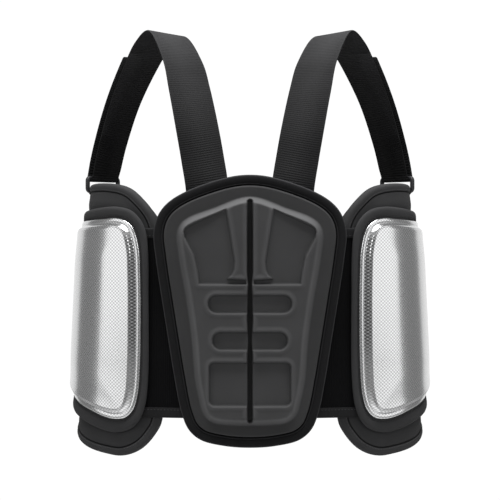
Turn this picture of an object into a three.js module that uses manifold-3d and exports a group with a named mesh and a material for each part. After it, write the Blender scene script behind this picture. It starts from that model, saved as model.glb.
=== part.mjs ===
// A rib protector as it is worn: a moulded chest pad, two soft side pads with hard side shells,
// a belt that goes round the body, and two webbing straps that hang it from the shoulders.
// Millimetres, +Z up, the chest faces -Y. The origin is midway between the undersides of the two
// straps where they cross the shoulders, so every height below is a drop from there.

import * as THREE from 'three'
import Module from 'manifold-3d'

// The body that it fits, as an oval of arcs: flat front and back, rounded flanks
const FRONT_RADIUS = 255
const FLANK_RADIUS = 96
const BODY_TOP_DROP = 153.3
const BODY_TOP_WIDTH = 294.2
const BODY_WAIST_DROP = 345
const BODY_WAIST_WIDTH = 312.2
const BODY_HIP_DROP = 385
const BODY_HIP_WIDTH = 323.2
const BODY_HEM_DROP = 417
const BODY_HEM_WIDTH = 326
const BODY_WIDTHS = [
  { drop: BODY_TOP_DROP, width: BODY_TOP_WIDTH },
  { drop: BODY_WAIST_DROP, width: BODY_WAIST_WIDTH },
  { drop: BODY_HIP_DROP, width: BODY_HIP_WIDTH },
  { drop: BODY_HEM_DROP, width: BODY_HEM_WIDTH },
]

// Free room between two layers that touch on the real object, and inside a fold of webbing
const LAYER_GAP = 0.6
const FOLD_GAP = 0.4

// Side pads, next to the body; the start is the girth from the middle of the chest
const SIDE_PAD_DROP = 153.3
const SIDE_PAD_HEIGHT = 263.2
const SIDE_PAD_START = 85
const SIDE_PAD_WIDTH = 241
const SIDE_PAD_THICKNESS = 9

// How far the side pads' free edges stand off the body for each millimetre past the flare's start
const TOP_FLARE = 0.12
const HEM_FLARE = 0.16
const FLARE_START = 9

// Edge of every padded piece: how far it is rounded, and the seam beside its binding
const EDGE_ROUND = 1.5
const RIM_WIDTH = 8
const SEAM_WIDTH = 1.2
const SEAM_DEPTH = 1.2

// Belt, over the side pads
const BELT_DROP = 196.8
const BELT_HEIGHT = 182
const BELT_THICKNESS = 1.4
const TAPE_THICKNESS = 0.7
const TAPE_GAP = 0.3
const BINDING_HEIGHT = 9.8

// Shell pads, over the belt
const SHELL_PAD_DROP = 175.7
const SHELL_PAD_HEIGHT = 218.4
const SHELL_PAD_START = 94
const SHELL_PAD_WIDTH = 168
const SHELL_PAD_THICKNESS = 3

// Hard side shells, on the shell pads
const SHELL_DROP = 187.1
const SHELL_HEIGHT = 193.7
const SHELL_START = 100.2
const SHELL_WIDTH = 150.1
const SHELL_WALL = 1.4
const SHELL_RISE = 4.4
const FLANGE_WIDTH = 4.5
const BEVEL_RUN = 3.5

// Inside the dome: how far its bevel lies in from the outer one, as a share of the wall, and the
// room between the dome and the shell pad's raised middle at the bevel's foot and at its top
const INNER_BEVEL_SHARE = 0.65
const CROWN_GAP = 0.9
const CROWN_TOP_GAP = 1.35

// Chest pad: the soft base, the moulding's border on it and the raised panel
const CHEST_DROP = 146.2
const CHEST_HEIGHT = 259.9
const CHEST_WIDTH = 185.4
const CHEST_BASE_THICKNESS = 6
const CHEST_BINDING = 10.3
const BORDER_THICKNESS = 2
const PANEL_DROP = 167.1
const PANEL_HEIGHT = 217.5
const PANEL_WIDTH = 139.4
const PANEL_RISE = 8.3
const PANEL_BEVEL = 5
const RECESS_DEPTH = 3
const RECESS_DRAFT = 1.6
const UPPER_RECESS_DRAFT = 0.8
const SLOT_WIDTH = 5.4
const SLOT_DEPTH = 7
const SLOT_DRAFT_SHARE = 0.125
const CUT_ABOVE = 2

// Shoulder straps
const STRAP_WIDTH = 41.2
const STRAP_THICKNESS = 1.6
const STRAP_FRONT_X = 40.4
const STRAP_FRONT_TUCK = 5
const SHOULDER_X = 83.4
const SHOULDER_Y = 2

// The free end that comes back up each strap: where it ends, how far it lies off and to the
// outside of the strap there, and how it closes on the strap on its way up
const RETURN_END_DROP = 25
const RETURN_GAP = 1.2
const RETURN_SHIFT = 3
const RETURN_EASE = 1.5

// Rings at the back of the flanks, and the tabs that hold them on the side pads
const RING_LENGTH = 52
const RING_HEIGHT = 17.5
const RING_WIRE = 4.2
const RING_CORNER = 3.1
const RING_DROP = 151
const RING_TURN = 53
const RING_STAND_OFF = 15
const TAB_WIDTH = 38
const TAB_THICKNESS = 1.4
const TAB_DROP = 29
const TAB_LANDING_DROP = 21

// How finely the curved faces are cut into flat ones
const SIDE_PAD_STEPS = [13, 10]
const SHELL_STEPS = [10, 10]
const CHEST_STEPS = [12, 9]
const OUTLINE_FINENESS = 12
const FLANK_STEPS = 17
const FRONT_STEPS = 5
const STRAP_STEPS_PER_ROW = 3
const FOLD_STEPS = 6
const WIRE_SIDES = 8
const CORNER_STEPS = 3
const RECESS_CORNER_STEPS = 3
const RECESS_STEPS = 3

// Outlines: along is a share of the piece's width, down of its height. Each starts at the top
// front corner and runs along the top, down the back, along the bottom and up the front.
const SIDE_PAD_OUTLINE = [
  { along: 0.078, down: 0.060, corner: true },
  { along: 0.135, down: 0.019 },
  { along: 0.230, down: 0.000 },
  { along: 0.498, down: 0.000 },
  { along: 0.734, down: 0.010 },
  { along: 0.900, down: 0.075, corner: true },
  { along: 0.978, down: 0.180 },
  { along: 1.000, down: 0.330 },
  { along: 0.996, down: 0.559 },
  { along: 0.942, down: 0.712, corner: true },
  { along: 0.830, down: 0.803 },
  { along: 0.685, down: 0.879 },
  { along: 0.523, down: 0.936 },
  { along: 0.378, down: 0.974 },
  { along: 0.240, down: 0.995 },
  { along: 0.150, down: 0.999 },
  { along: 0.076, down: 0.969, corner: true },
  { along: 0.020, down: 0.908 },
  { along: 0.000, down: 0.862 },
  { along: 0.000, down: 0.483 },
  { along: 0.006, down: 0.190 },
  { along: 0.032, down: 0.115 },
]

const SHELL_PAD_OUTLINE = [
  { along: 0.050, down: 0.052, corner: true },
  { along: 0.106, down: 0.016 },
  { along: 0.200, down: 0.001 },
  { along: 0.300, down: 0.003 },
  { along: 0.456, down: 0.012 },
  { along: 0.620, down: 0.024 },
  { along: 0.745, down: 0.050 },
  { along: 0.875, down: 0.115, corner: true },
  { along: 0.964, down: 0.213 },
  { along: 1.000, down: 0.378 },
  { along: 0.994, down: 0.617 },
  { along: 0.929, down: 0.777, corner: true },
  { along: 0.798, down: 0.860 },
  { along: 0.637, down: 0.915 },
  { along: 0.427, down: 0.962 },
  { along: 0.300, down: 0.988 },
  { along: 0.193, down: 1.000 },
  { along: 0.110, down: 0.983 },
  { along: 0.058, down: 0.947, corner: true },
  { along: 0.022, down: 0.883 },
  { along: 0.003, down: 0.767 },
  { along: 0.000, down: 0.415 },
  { along: 0.002, down: 0.180 },
  { along: 0.016, down: 0.104 },
]

const SHELL_OUTLINE = [
  { along: 0.046, down: 0.050, corner: true },
  { along: 0.099, down: 0.013 },
  { along: 0.173, down: 0.000 },
  { along: 0.257, down: 0.004 },
  { along: 0.430, down: 0.010 },
  { along: 0.600, down: 0.018 },
  { along: 0.745, down: 0.050 },
  { along: 0.865, down: 0.140, corner: true },
  { along: 0.962, down: 0.270 },
  { along: 1.000, down: 0.451 },
  { along: 0.985, down: 0.657 },
  { along: 0.904, down: 0.787, corner: true },
  { along: 0.762, down: 0.864 },
  { along: 0.620, down: 0.905 },
  { along: 0.494, down: 0.936 },
  { along: 0.370, down: 0.962 },
  { along: 0.240, down: 0.992 },
  { along: 0.169, down: 1.000 },
  { along: 0.103, down: 0.992 },
  { along: 0.054, down: 0.954, corner: true },
  { along: 0.020, down: 0.870 },
  { along: 0.006, down: 0.745 },
  { along: 0.000, down: 0.550 },
  { along: 0.000, down: 0.300 },
  { along: 0.010, down: 0.145 },
]

// Half outlines of the chest pad, from the top middle to the bottom middle: out is a share of
// half the width, down of the height
const CHEST_OUTLINE = [
  { out: 0.000, down: 0.000 },
  { out: 0.240, down: 0.010 },
  { out: 0.675, down: 0.063 },
  { out: 0.863, down: 0.106 },
  { out: 0.955, down: 0.150, corner: true },
  { out: 1.000, down: 0.212 },
  { out: 0.974, down: 0.313 },
  { out: 0.911, down: 0.460 },
  { out: 0.844, down: 0.608 },
  { out: 0.776, down: 0.754 },
  { out: 0.705, down: 0.875 },
  { out: 0.628, down: 0.937, corner: true },
  { out: 0.505, down: 0.973 },
  { out: 0.260, down: 0.994 },
  { out: 0.000, down: 1.000 },
]

const PANEL_OUTLINE = [
  { out: 0.000, down: 0.000 },
  { out: 0.516, down: 0.052 },
  { out: 0.835, down: 0.090 },
  { out: 0.949, down: 0.119, corner: true },
  { out: 1.000, down: 0.160 },
  { out: 0.967, down: 0.278 },
  { out: 0.871, down: 0.453 },
  { out: 0.795, down: 0.628 },
  { out: 0.751, down: 0.803 },
  { out: 0.700, down: 0.885 },
  { out: 0.636, down: 0.953, corner: true },
  { out: 0.511, down: 0.988 },
  { out: 0.197, down: 1.000 },
  { out: 0.000, down: 1.000 },
]

// Recesses that cross the panel's middle, as shares of its half width and height; the rounding
// is a share of half the recess's height
const CROSS_RECESSES = [
  { reach: 0.567, top: 0.430, bottom: 0.508, rounding: 0.95 },
  { reach: 0.507, top: 0.590, bottom: 0.668, rounding: 0.95 },
  { reach: 0.552, top: 0.723, bottom: 0.914, rounding: 0.25 },
]

// The pair of upper recesses, which leave two upright ties between them
const UPPER_RECESS = [
  { out: 0.050, top: 0.358, bottom: 0.380 },
  { out: 0.178, top: 0.350, bottom: 0.380 },
  { out: 0.228, top: 0.245, bottom: 0.380 },
  { out: 0.318, top: 0.058, bottom: 0.380 },
  { out: 0.535, top: 0.086, bottom: 0.380 },
  { out: 0.690, top: 0.108, bottom: 0.380 },
  { out: 0.765, top: 0.119, bottom: 0.260 },
  { out: 0.840, top: 0.130, bottom: 0.182 },
  { out: 0.866, top: 0.140, bottom: 0.160 },
]

// The upright slot down the panel's middle, waisted between the recesses
const MIDDLE_SLOT = [
  { wide: 0.35, down: 0.010 },
  { wide: 1.00, down: 0.040 },
  { wide: 1.10, down: 0.330 },
  { wide: 0.75, down: 0.385 },
  { wide: 1.00, down: 0.540 },
  { wide: 0.80, down: 0.620 },
  { wide: 1.05, down: 0.700 },
  { wide: 0.95, down: 0.960 },
  { wide: 0.35, down: 0.987 },
]

// The strap's centre line: shares of the way from the strap's front end to the shoulder, and
// from the shoulder to the ring. The turn is that of its width about the upright, as a share
// of the ring's turn; the roll is how many degrees its outer edge is lifted.
const STRAP_FRONT_ROUTE = [
  { x: 0.000, y: 0.000, z: 0.000, turn: -0.17, roll: 0 },
  { x: 0.018, y: 0.016, z: 0.173, turn: -0.16, roll: 0 },
  { x: 0.120, y: 0.108, z: 0.323, turn: -0.08, roll: 0 },
  { x: 0.240, y: 0.215, z: 0.473, turn: 0.00, roll: 0 },
  { x: 0.433, y: 0.459, z: 0.687, turn: 0.15, roll: 1.5 },
  { x: 0.605, y: 0.695, z: 0.842, turn: 0.28, roll: 4.5 },
]
const STRAP_BACK_ROUTE = [
  { x: 0.000, y: 0.000, z: 0.000, turn: 0.49, roll: 7.5 },
  { x: 0.210, y: 0.340, z: 0.055, turn: 0.60, roll: 5 },
  { x: 0.420, y: 0.660, z: 0.205, turn: 0.70, roll: 2 },
  { x: 0.690, y: 0.960, z: 0.470, turn: 0.85, roll: 0 },
  { x: 0.885, y: 1.040, z: 0.760, turn: 0.95, roll: 0 },
]

// Where each layer lies, measured outwards from the body
const bindingInner = SIDE_PAD_THICKNESS + LAYER_GAP
const beltInner = bindingInner + TAPE_THICKNESS + TAPE_GAP
const beltOuter = beltInner + BELT_THICKNESS
const bindingOuter = beltOuter + TAPE_GAP + TAPE_THICKNESS
const shellPadInner = bindingOuter + LAYER_GAP
const shellPadOuter = shellPadInner + SHELL_PAD_THICKNESS
const flangeInner = shellPadOuter + LAYER_GAP
const flangeOuter = flangeInner + SHELL_WALL
const domeInner = flangeInner + SHELL_RISE
const domeOuter = flangeOuter + SHELL_RISE
const chestInner = bindingOuter + LAYER_GAP
const chestOuter = chestInner + CHEST_BASE_THICKNESS
const borderInner = chestOuter + LAYER_GAP
const borderOuter = borderInner + BORDER_THICKNESS
const panelOuter = borderOuter + PANEL_RISE

const beltTop = -BELT_DROP
const beltBottom = beltTop - BELT_HEIGHT

// The body's oval at a height: where the front arc's centre lies and how far the arc bends
function bodyAt(z) {
  const last = BODY_WIDTHS.length - 1
  const row = BODY_WIDTHS.findIndex(({ drop }, i) => i > 0 && (-z <= drop || i === last))
  const above = BODY_WIDTHS[row - 1]
  const below = BODY_WIDTHS[row]
  const width = THREE.MathUtils.mapLinear(-z, above.drop, below.drop, above.width, below.width)
  const core = FRONT_RADIUS - FLANK_RADIUS
  const flankCentre = width / 2 - FLANK_RADIUS
  const bend = Math.asin(flankCentre / core)
  return {
    flankCentre,
    frontCentre: core * Math.cos(bend),
    bend,
    frontGirth: FRONT_RADIUS * bend,
    flankGirth: FLANK_RADIUS * (Math.PI - 2 * bend),
  }
}

// A point at a girth from the middle of the chest towards +X, a height and a distance outwards
function onBody(girth, z, off) {
  const body = bodyAt(z)
  const side = Math.sign(girth)
  const along = Math.abs(girth)
  if (along <= body.frontGirth) {
    const angle = along / FRONT_RADIUS
    const reach = FRONT_RADIUS + off
    return new THREE.Vector3(side * reach * Math.sin(angle), body.frontCentre - reach * Math.cos(angle), z)
  }
  if (along <= body.frontGirth + body.flankGirth) {
    const angle = body.bend + (along - body.frontGirth) / FLANK_RADIUS
    const reach = FLANK_RADIUS + off
    return new THREE.Vector3(side * (body.flankCentre + reach * Math.sin(angle)), -reach * Math.cos(angle), z)
  }
  const angle = Math.PI - body.bend + (along - body.frontGirth - body.flankGirth) / FRONT_RADIUS
  const reach = FRONT_RADIUS + off
  return new THREE.Vector3(side * reach * Math.sin(angle), -body.frontCentre - reach * Math.cos(angle), z)
}

// A point over the chest, given straight across instead of along the girth
function onChest(x, z, off) {
  const body = bodyAt(z)
  const across = Math.abs(x)
  const front = FRONT_RADIUS + off
  if (across <= front * Math.sin(body.bend)) {
    return new THREE.Vector3(x, body.frontCentre - Math.sqrt(front ** 2 - across ** 2), z)
  }
  const flank = FLANK_RADIUS + off
  return new THREE.Vector3(x, -Math.sqrt(flank ** 2 - (across - body.flankCentre) ** 2), z)
}

// How far the side pad's free edges stand off the body, above and below the belt
function flare(z) {
  const atTop = TOP_FLARE * (z - beltTop - FLARE_START)
  const atHem = HEM_FLARE * (beltBottom - z - FLARE_START)
  return Math.max(0, atTop, atHem)
}

// A closed outline's points, with a set count of steps on each of its four sides
function sampleOutline(points, corners, steps) {
  const curve = new THREE.CatmullRomCurve3(
    points.map((point) => new THREE.Vector3(point.x, point.y, 0)), true, 'centripetal')
  const samples = []
  corners.forEach((first, side) => {
    const last = side + 1 < corners.length ? corners[side + 1] : points.length + corners[0]
    const count = (last - first) * OUTLINE_FINENESS
    const dense = []
    for (let i = 0; i <= count; i++) {
      dense.push(curve.getPoint(((first + i / OUTLINE_FINENESS) / points.length) % 1))
    }
    const lengths = [0]
    for (let i = 1; i <= count; i++) lengths.push(lengths[i - 1] + dense[i].distanceTo(dense[i - 1]))
    // half even along the length and half even between the table's rows, so tight bends keep points
    const measure = lengths.map((length, i) => (length / lengths[count] + i / count) / 2)
    for (let step = 0; step < steps[side]; step++) {
      const target = step / steps[side]
      let i = 1
      while (measure[i] < target) i++
      const share = (target - measure[i - 1]) / (measure[i] - measure[i - 1])
      const point = dense[i - 1].clone().lerp(dense[i], share)
      samples.push(new THREE.Vector2(point.x, point.y))
    }
  })
  return samples
}

function padLoop(outline, size, steps) {
  const points = outline.map((row) => new THREE.Vector2(
    size.start + row.along * size.width, -size.drop - row.down * size.height))
  const corners = outline.flatMap((row, i) => (row.corner ? [i] : []))
  return sampleOutline(points, corners, steps)
}

function chestLoop(outline, size, steps) {
  const half = outline.map((row) => new THREE.Vector2(
    row.out * size.width / 2, -size.drop - row.down * size.height))
  const other = half.slice(1, -1).reverse().map((point) => new THREE.Vector2(-point.x, point.y))
  const isCorner = outline.map((row) => Boolean(row.corner))
  const rightCorners = isCorner.flatMap((corner, i) => (corner ? [i] : []))
  const leftCorners = rightCorners.map((i) => 2 * (outline.length - 1) - i).reverse()
  return sampleOutline([...half, ...other], [...rightCorners, ...leftCorners], steps)
}

// The loop moved inwards by a distance, square to itself
function insetLoop(loop, distance) {
  const turn = Math.sign(THREE.ShapeUtils.area(loop))
  return loop.map((point, i) => {
    const before = loop[(i + loop.length - 1) % loop.length]
    const after = loop[(i + 1) % loop.length]
    const along = after.clone().sub(before).normalize()
    return new THREE.Vector2(point.x - turn * along.y * distance, point.y + turn * along.x * distance)
  })
}

// A four-sided grid of points that fills a loop whose sides have the given steps
function fillLoop(loop, steps) {
  const [across, down] = steps
  const top = (i) => loop[i]
  const back = (j) => loop[across + j]
  const bottom = (i) => loop[2 * across + down - i]
  const front = (j) => loop[(2 * across + 2 * down - j) % loop.length]
  const grid = []
  for (let j = 0; j <= down; j++) {
    const v = j / down
    const row = []
    for (let i = 0; i <= across; i++) {
      const u = i / across
      const point = new THREE.Vector2()
      point.addScaledVector(top(i), 1 - v).addScaledVector(bottom(i), v)
      point.addScaledVector(front(j), 1 - u).addScaledVector(back(j), u)
      point.addScaledVector(top(0), -(1 - u) * (1 - v)).addScaledVector(top(across), -u * (1 - v))
      point.addScaledVector(bottom(0), -(1 - u) * v).addScaledVector(bottom(across), -u * v)
      row.push(point)
    }
    grid.push(row)
  }
  return grid
}

// A geometry from shared points and triangles, with its faces turned outwards
function closedGeometry(points, triangles) {
  let volume = 0
  for (const [a, b, c] of triangles) volume += points[a].dot(points[b].clone().cross(points[c]))
  const faces = volume < 0 ? triangles.map(([a, b, c]) => [a, c, b]) : triangles
  const geometry = new THREE.BufferGeometry()
  geometry.setAttribute('position', new THREE.Float32BufferAttribute(
    points.flatMap((point) => point.toArray()), 3))
  geometry.setIndex(faces.flat())
  geometry.computeVertexNormals()
  return geometry
}

function bridge(triangles, first, second, closed) {
  const count = closed ? first.length : first.length - 1
  for (let i = 0; i < count; i++) {
    const next = (i + 1) % first.length
    triangles.push([first[i], first[next], second[next]], [first[i], second[next], second[i]])
  }
}

// A padded piece: loops from the middle of its back, round its edge, to the middle of its front
function padSolid(rings, steps, place) {
  const points = []
  const triangles = []
  const put = (flat, off) => points.push(place(flat.x, flat.y, off)) - 1
  const ringIndices = rings.map(({ loop, off }) => loop.map((flat) => put(flat, off)))
  for (let i = 1; i < ringIndices.length; i++) {
    bridge(triangles, ringIndices[i - 1], ringIndices[i], true)
  }
  const [across, down] = steps
  for (const last of [false, true]) {
    const ring = last ? rings[rings.length - 1] : rings[0]
    const edge = last ? ringIndices[rings.length - 1] : ringIndices[0]
    const grid = fillLoop(ring.loop, steps)
    const indexAt = (i, j) => {
      if (j === 0) return edge[i]
      if (i === across) return edge[across + j]
      if (j === down) return edge[2 * across + down - i]
      if (i === 0) return edge[2 * across + 2 * down - j]
      return null
    }
    const indices = grid.map((row, j) => row.map((flat, i) => indexAt(i, j) ?? put(flat, ring.off)))
    for (let j = 0; j < down; j++) {
      for (let i = 0; i < across; i++) {
        const a = indices[j][i]
        const b = indices[j][i + 1]
        const c = indices[j + 1][i + 1]
        const d = indices[j + 1][i]
        if (last) triangles.push([a, b, c], [a, c, d])
        else triangles.push([a, d, c], [a, c, b])
      }
    }
  }
  return closedGeometry(points, triangles)
}

// Sections joined one after another: a ring of them when closed, otherwise with flat ends
function sweepSolid(sections, closed) {
  const points = sections.flat()
  const width = sections[0].length
  const triangles = []
  const indices = sections.map((_, i) => Array.from({ length: width }, (__, j) => i * width + j))
  const last = closed ? sections.length : sections.length - 1
  for (let i = 0; i < last; i++) {
    bridge(triangles, indices[i], indices[(i + 1) % sections.length], true)
  }
  if (!closed) {
    const first = indices[0]
    const end = indices[sections.length - 1]
    for (let j = 1; j < width - 1; j++) {
      triangles.push([first[0], first[j + 1], first[j]], [end[0], end[j], end[j + 1]])
    }
  }
  return closedGeometry(points, triangles)
}

function mirrored(geometry) {
  const copy = geometry.clone()
  copy.scale(-1, 1, 1)
  const index = copy.getIndex().array
  for (let i = 0; i < index.length; i += 3) {
    [index[i + 1], index[i + 2]] = [index[i + 2], index[i + 1]]
  }
  copy.computeVertexNormals()
  return copy
}

// The rounded edge of a padded piece, from its back to the front face inside that edge
function edgeRings(loop, inner, outer) {
  return [
    { loop: insetLoop(loop, EDGE_ROUND), off: inner },
    { loop, off: inner + EDGE_ROUND },
    { loop, off: outer - EDGE_ROUND },
    { loop: insetLoop(loop, EDGE_ROUND), off: outer },
  ]
}

// The sunk seam on the inner side of a binding
function seamRings(loop, rim, outer) {
  return [
    { loop: insetLoop(loop, rim - SEAM_WIDTH), off: outer },
    { loop: insetLoop(loop, rim), off: outer - SEAM_DEPTH },
    { loop: insetLoop(loop, rim + SEAM_WIDTH), off: outer },
  ]
}

function sidePad() {
  const size = {
    start: SIDE_PAD_START, width: SIDE_PAD_WIDTH, drop: SIDE_PAD_DROP, height: SIDE_PAD_HEIGHT,
  }
  const loop = padLoop(SIDE_PAD_OUTLINE, size, [...SIDE_PAD_STEPS, ...SIDE_PAD_STEPS])
  const rings = [
    ...edgeRings(loop, 0, SIDE_PAD_THICKNESS),
    ...seamRings(loop, RIM_WIDTH, SIDE_PAD_THICKNESS),
  ]
  return padSolid(rings, SIDE_PAD_STEPS, (girth, z, off) => onBody(girth, z, off + flare(z)))
}

function shellLoop() {
  const size = { start: SHELL_START, width: SHELL_WIDTH, drop: SHELL_DROP, height: SHELL_HEIGHT }
  return padLoop(SHELL_OUTLINE, size, [...SHELL_STEPS, ...SHELL_STEPS])
}

// The dome's foot and top on the inside of the shell, inwards from the shell's edge
const innerFoot = FLANGE_WIDTH + SHELL_WALL * INNER_BEVEL_SHARE
const innerTop = innerFoot + BEVEL_RUN

function shellPad() {
  const size = {
    start: SHELL_PAD_START, width: SHELL_PAD_WIDTH, drop: SHELL_PAD_DROP, height: SHELL_PAD_HEIGHT,
  }
  const loop = padLoop(SHELL_PAD_OUTLINE, size, [...SHELL_STEPS, ...SHELL_STEPS])
  const shell = shellLoop()
  const rings = [
    ...edgeRings(loop, shellPadInner, shellPadOuter),
    { loop: insetLoop(shell, innerFoot + CROWN_GAP), off: shellPadOuter },
    { loop: insetLoop(shell, innerTop + CROWN_TOP_GAP), off: domeInner - CROWN_GAP },
  ]
  return padSolid(rings, SHELL_STEPS, onBody)
}

function sideShell() {
  const loop = shellLoop()
  const rings = [
    { loop: insetLoop(loop, innerTop), off: domeInner },
    { loop: insetLoop(loop, innerFoot), off: flangeInner },
    { loop, off: flangeInner },
    { loop, off: flangeOuter },
    { loop: insetLoop(loop, FLANGE_WIDTH), off: flangeOuter },
    { loop: insetLoop(loop, FLANGE_WIDTH + BEVEL_RUN), off: domeOuter },
  ]
  return padSolid(rings, SHELL_STEPS, onBody)
}

// Girths all round the body at a height, closer together where the flanks bend
function beltGirths(z) {
  const body = bodyAt(z)
  const back = body.frontGirth + body.flankGirth
  const half = []
  for (let i = 0; i < FRONT_STEPS; i++) half.push(body.frontGirth * i / FRONT_STEPS)
  for (let i = 0; i < FLANK_STEPS; i++) half.push(body.frontGirth + body.flankGirth * i / FLANK_STEPS)
  for (let i = 0; i <= FRONT_STEPS; i++) half.push(back + body.frontGirth * i / FRONT_STEPS)
  return [...half, ...half.slice(1, -1).reverse().map((girth) => -girth)]
}

// A band round the body from a section of distances outwards and heights
function bandSolid(section) {
  const columns = section.map(({ off, z }) => beltGirths(z).map((girth) => onBody(girth, z, off)))
  const sections = columns[0].map((_, i) => columns.map((column) => column[i]))
  return sweepSolid(sections, true)
}

function belt() {
  const clear = TAPE_THICKNESS + TAPE_GAP
  const top = beltTop - clear
  const bottom = beltBottom + clear
  const bends = BODY_WIDTHS.map(({ drop }) => -drop).filter((z) => z < top && z > bottom)
  const levels = [top, ...bends, bottom]
  return bandSolid([
    ...levels.map((z) => ({ off: beltInner, z })),
    ...levels.reverse().map((z) => ({ off: beltOuter, z })),
  ])
}

// The folded tape over an edge of the belt: inwards is -1 at the top edge and +1 at the bottom
function beltBinding(edge, inwards) {
  const mouth = edge + inwards * BINDING_HEIGHT
  const fold = edge + inwards * TAPE_THICKNESS
  return bandSolid([
    { off: bindingInner, z: mouth },
    { off: bindingInner, z: edge },
    { off: bindingOuter, z: edge },
    { off: bindingOuter, z: mouth },
    { off: bindingOuter - TAPE_THICKNESS, z: mouth },
    { off: bindingOuter - TAPE_THICKNESS, z: fold },
    { off: bindingInner + TAPE_THICKNESS, z: fold },
    { off: bindingInner + TAPE_THICKNESS, z: mouth },
  ])
}

function chestOutlineLoop() {
  const size = { width: CHEST_WIDTH, drop: CHEST_DROP, height: CHEST_HEIGHT }
  const [down, across] = CHEST_STEPS
  return chestLoop(CHEST_OUTLINE, size, [down, across, down, across])
}

function chestBasePad() {
  const loop = chestOutlineLoop()
  const rings = [
    ...edgeRings(loop, chestInner, chestOuter),
    ...seamRings(loop, CHEST_BINDING - SEAM_WIDTH, chestOuter),
  ]
  return padSolid(rings, CHEST_STEPS, onChest)
}

// Height on the panel from a share of its height
function panelHeight(down) {
  return -PANEL_DROP - down * PANEL_HEIGHT
}

// One cut through the room that a recess takes out of the panel: its floor, then its wider mouth
function recessSection(from, to, depth, draft) {
  const spread = draft * CUT_ABOVE / depth
  const along = to.clone().sub(from).normalize()
  const at = (end, shift, off) => {
    const flat = end.clone().addScaledVector(along, shift)
    return onChest(flat.x, flat.y, off)
  }
  return [
    at(from, draft, panelOuter - depth),
    at(to, -draft, panelOuter - depth),
    at(to, spread, panelOuter + CUT_ABOVE),
    at(from, -spread, panelOuter + CUT_ABOVE),
  ]
}

function crossRecess(row) {
  const half = PANEL_WIDTH / 2
  const middle = (row.top + row.bottom) / 2
  const halfHeight = (row.bottom - row.top) * PANEL_HEIGHT / 2
  const rounding = row.rounding * halfHeight
  const columns = []
  for (let i = 0; i <= RECESS_CORNER_STEPS; i++) {
    const angle = Math.PI / 2 * i / RECESS_CORNER_STEPS
    columns.push({
      x: row.reach * half - rounding * (1 - Math.cos(angle)),
      reach: halfHeight - rounding * (1 - Math.sin(angle)),
    })
  }
  const straight = columns[columns.length - 1].x
  const count = 2 * RECESS_STEPS
  for (let i = 1; i < count; i++) columns.push({ x: straight * (1 - 2 * i / count), reach: halfHeight })
  const other = columns.slice(0, RECESS_CORNER_STEPS + 1).reverse()
    .map(({ x, reach }) => ({ x: -x, reach }))
  const z = panelHeight(middle)
  return sweepSolid([...columns, ...other].map(({ x, reach }) => recessSection(
    new THREE.Vector2(x, z - reach), new THREE.Vector2(x, z + reach), RECESS_DEPTH, RECESS_DRAFT)), false)
}

function upperRecess(side) {
  return sweepSolid(UPPER_RECESS.map((row) => {
    const x = side * row.out * PANEL_WIDTH / 2
    return recessSection(new THREE.Vector2(x, panelHeight(row.bottom)),
      new THREE.Vector2(x, panelHeight(row.top)), RECESS_DEPTH, UPPER_RECESS_DRAFT)
  }), false)
}

function middleSlot() {
  return sweepSolid(MIDDLE_SLOT.map((row) => {
    const width = row.wide * SLOT_WIDTH
    const z = panelHeight(row.down)
    return recessSection(new THREE.Vector2(-width / 2, z), new THREE.Vector2(width / 2, z),
      SLOT_DEPTH, width * SLOT_DRAFT_SHARE)
  }), false)
}

const wasm = await Module()
wasm.setup()

function toManifold(geometry) {
  return new wasm.Manifold(new wasm.Mesh({
    numProp: 3,
    vertProperties: new Float32Array(geometry.getAttribute('position').array),
    triVerts: new Uint32Array(geometry.getIndex().array),
  }))
}

function fromManifold(solid) {
  const mesh = solid.getMesh()
  const geometry = new THREE.BufferGeometry()
  geometry.setAttribute('position', new THREE.Float32BufferAttribute(mesh.vertProperties, 3))
  geometry.setIndex(Array.from(mesh.triVerts))
  geometry.computeVertexNormals()
  return geometry
}

function chestMoulding() {
  const border = insetLoop(chestOutlineLoop(), CHEST_BINDING)
  const [down, across] = CHEST_STEPS
  const panelSize = { width: PANEL_WIDTH, drop: PANEL_DROP, height: PANEL_HEIGHT }
  const panel = chestLoop(PANEL_OUTLINE, panelSize, [down, across, down, across])
  const rings = [
    { loop: insetLoop(border, BORDER_THICKNESS / 2), off: borderInner },
    { loop: border, off: borderInner + BORDER_THICKNESS / 2 },
    { loop: insetLoop(border, BORDER_THICKNESS / 2), off: borderOuter },
    { loop: panel, off: borderOuter },
    { loop: insetLoop(panel, PANEL_BEVEL), off: panelOuter },
  ]
  let solid = toManifold(padSolid(rings, CHEST_STEPS, onChest))
  const cuts = [...CROSS_RECESSES.map(crossRecess), upperRecess(1), upperRecess(-1), middleSlot()]
  for (const cut of cuts) solid = solid.subtract(toManifold(cut))
  return fromManifold(solid)
}

// The ring's own directions: along its long bars, and outwards from the flank
const ringTurn = THREE.MathUtils.degToRad(RING_TURN)
const ringAlong = new THREE.Vector3(Math.cos(ringTurn), -Math.sin(ringTurn), 0)
const ringOutwards = new THREE.Vector3(Math.sin(ringTurn), Math.cos(ringTurn), 0)
const upwards = new THREE.Vector3(0, 0, 1)

// The spot on the side pad's face that the tab is sewn to, where the pad faces as the ring does
function tabSeat(z, off) {
  const centre = new THREE.Vector3(bodyAt(z).flankCentre, 0, z)
  return centre.addScaledVector(ringOutwards, FLANK_RADIUS + SIDE_PAD_THICKNESS + flare(z) + off)
}

const ringBarSpread = (RING_HEIGHT - RING_WIRE) / 2
const ringCentre = tabSeat(-RING_DROP, LAYER_GAP + TAB_THICKNESS / 2 + RING_STAND_OFF)

// The square-cut section of a webbing or tape at a point of its route
function webbingSection(centre, wide, thick, width, thickness) {
  const corner = (across, through) => centre.clone()
    .addScaledVector(wide, across * width / 2).addScaledVector(thick, through * thickness / 2)
  return [corner(-1, -1), corner(1, -1), corner(1, 1), corner(-1, 1)]
}

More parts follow.
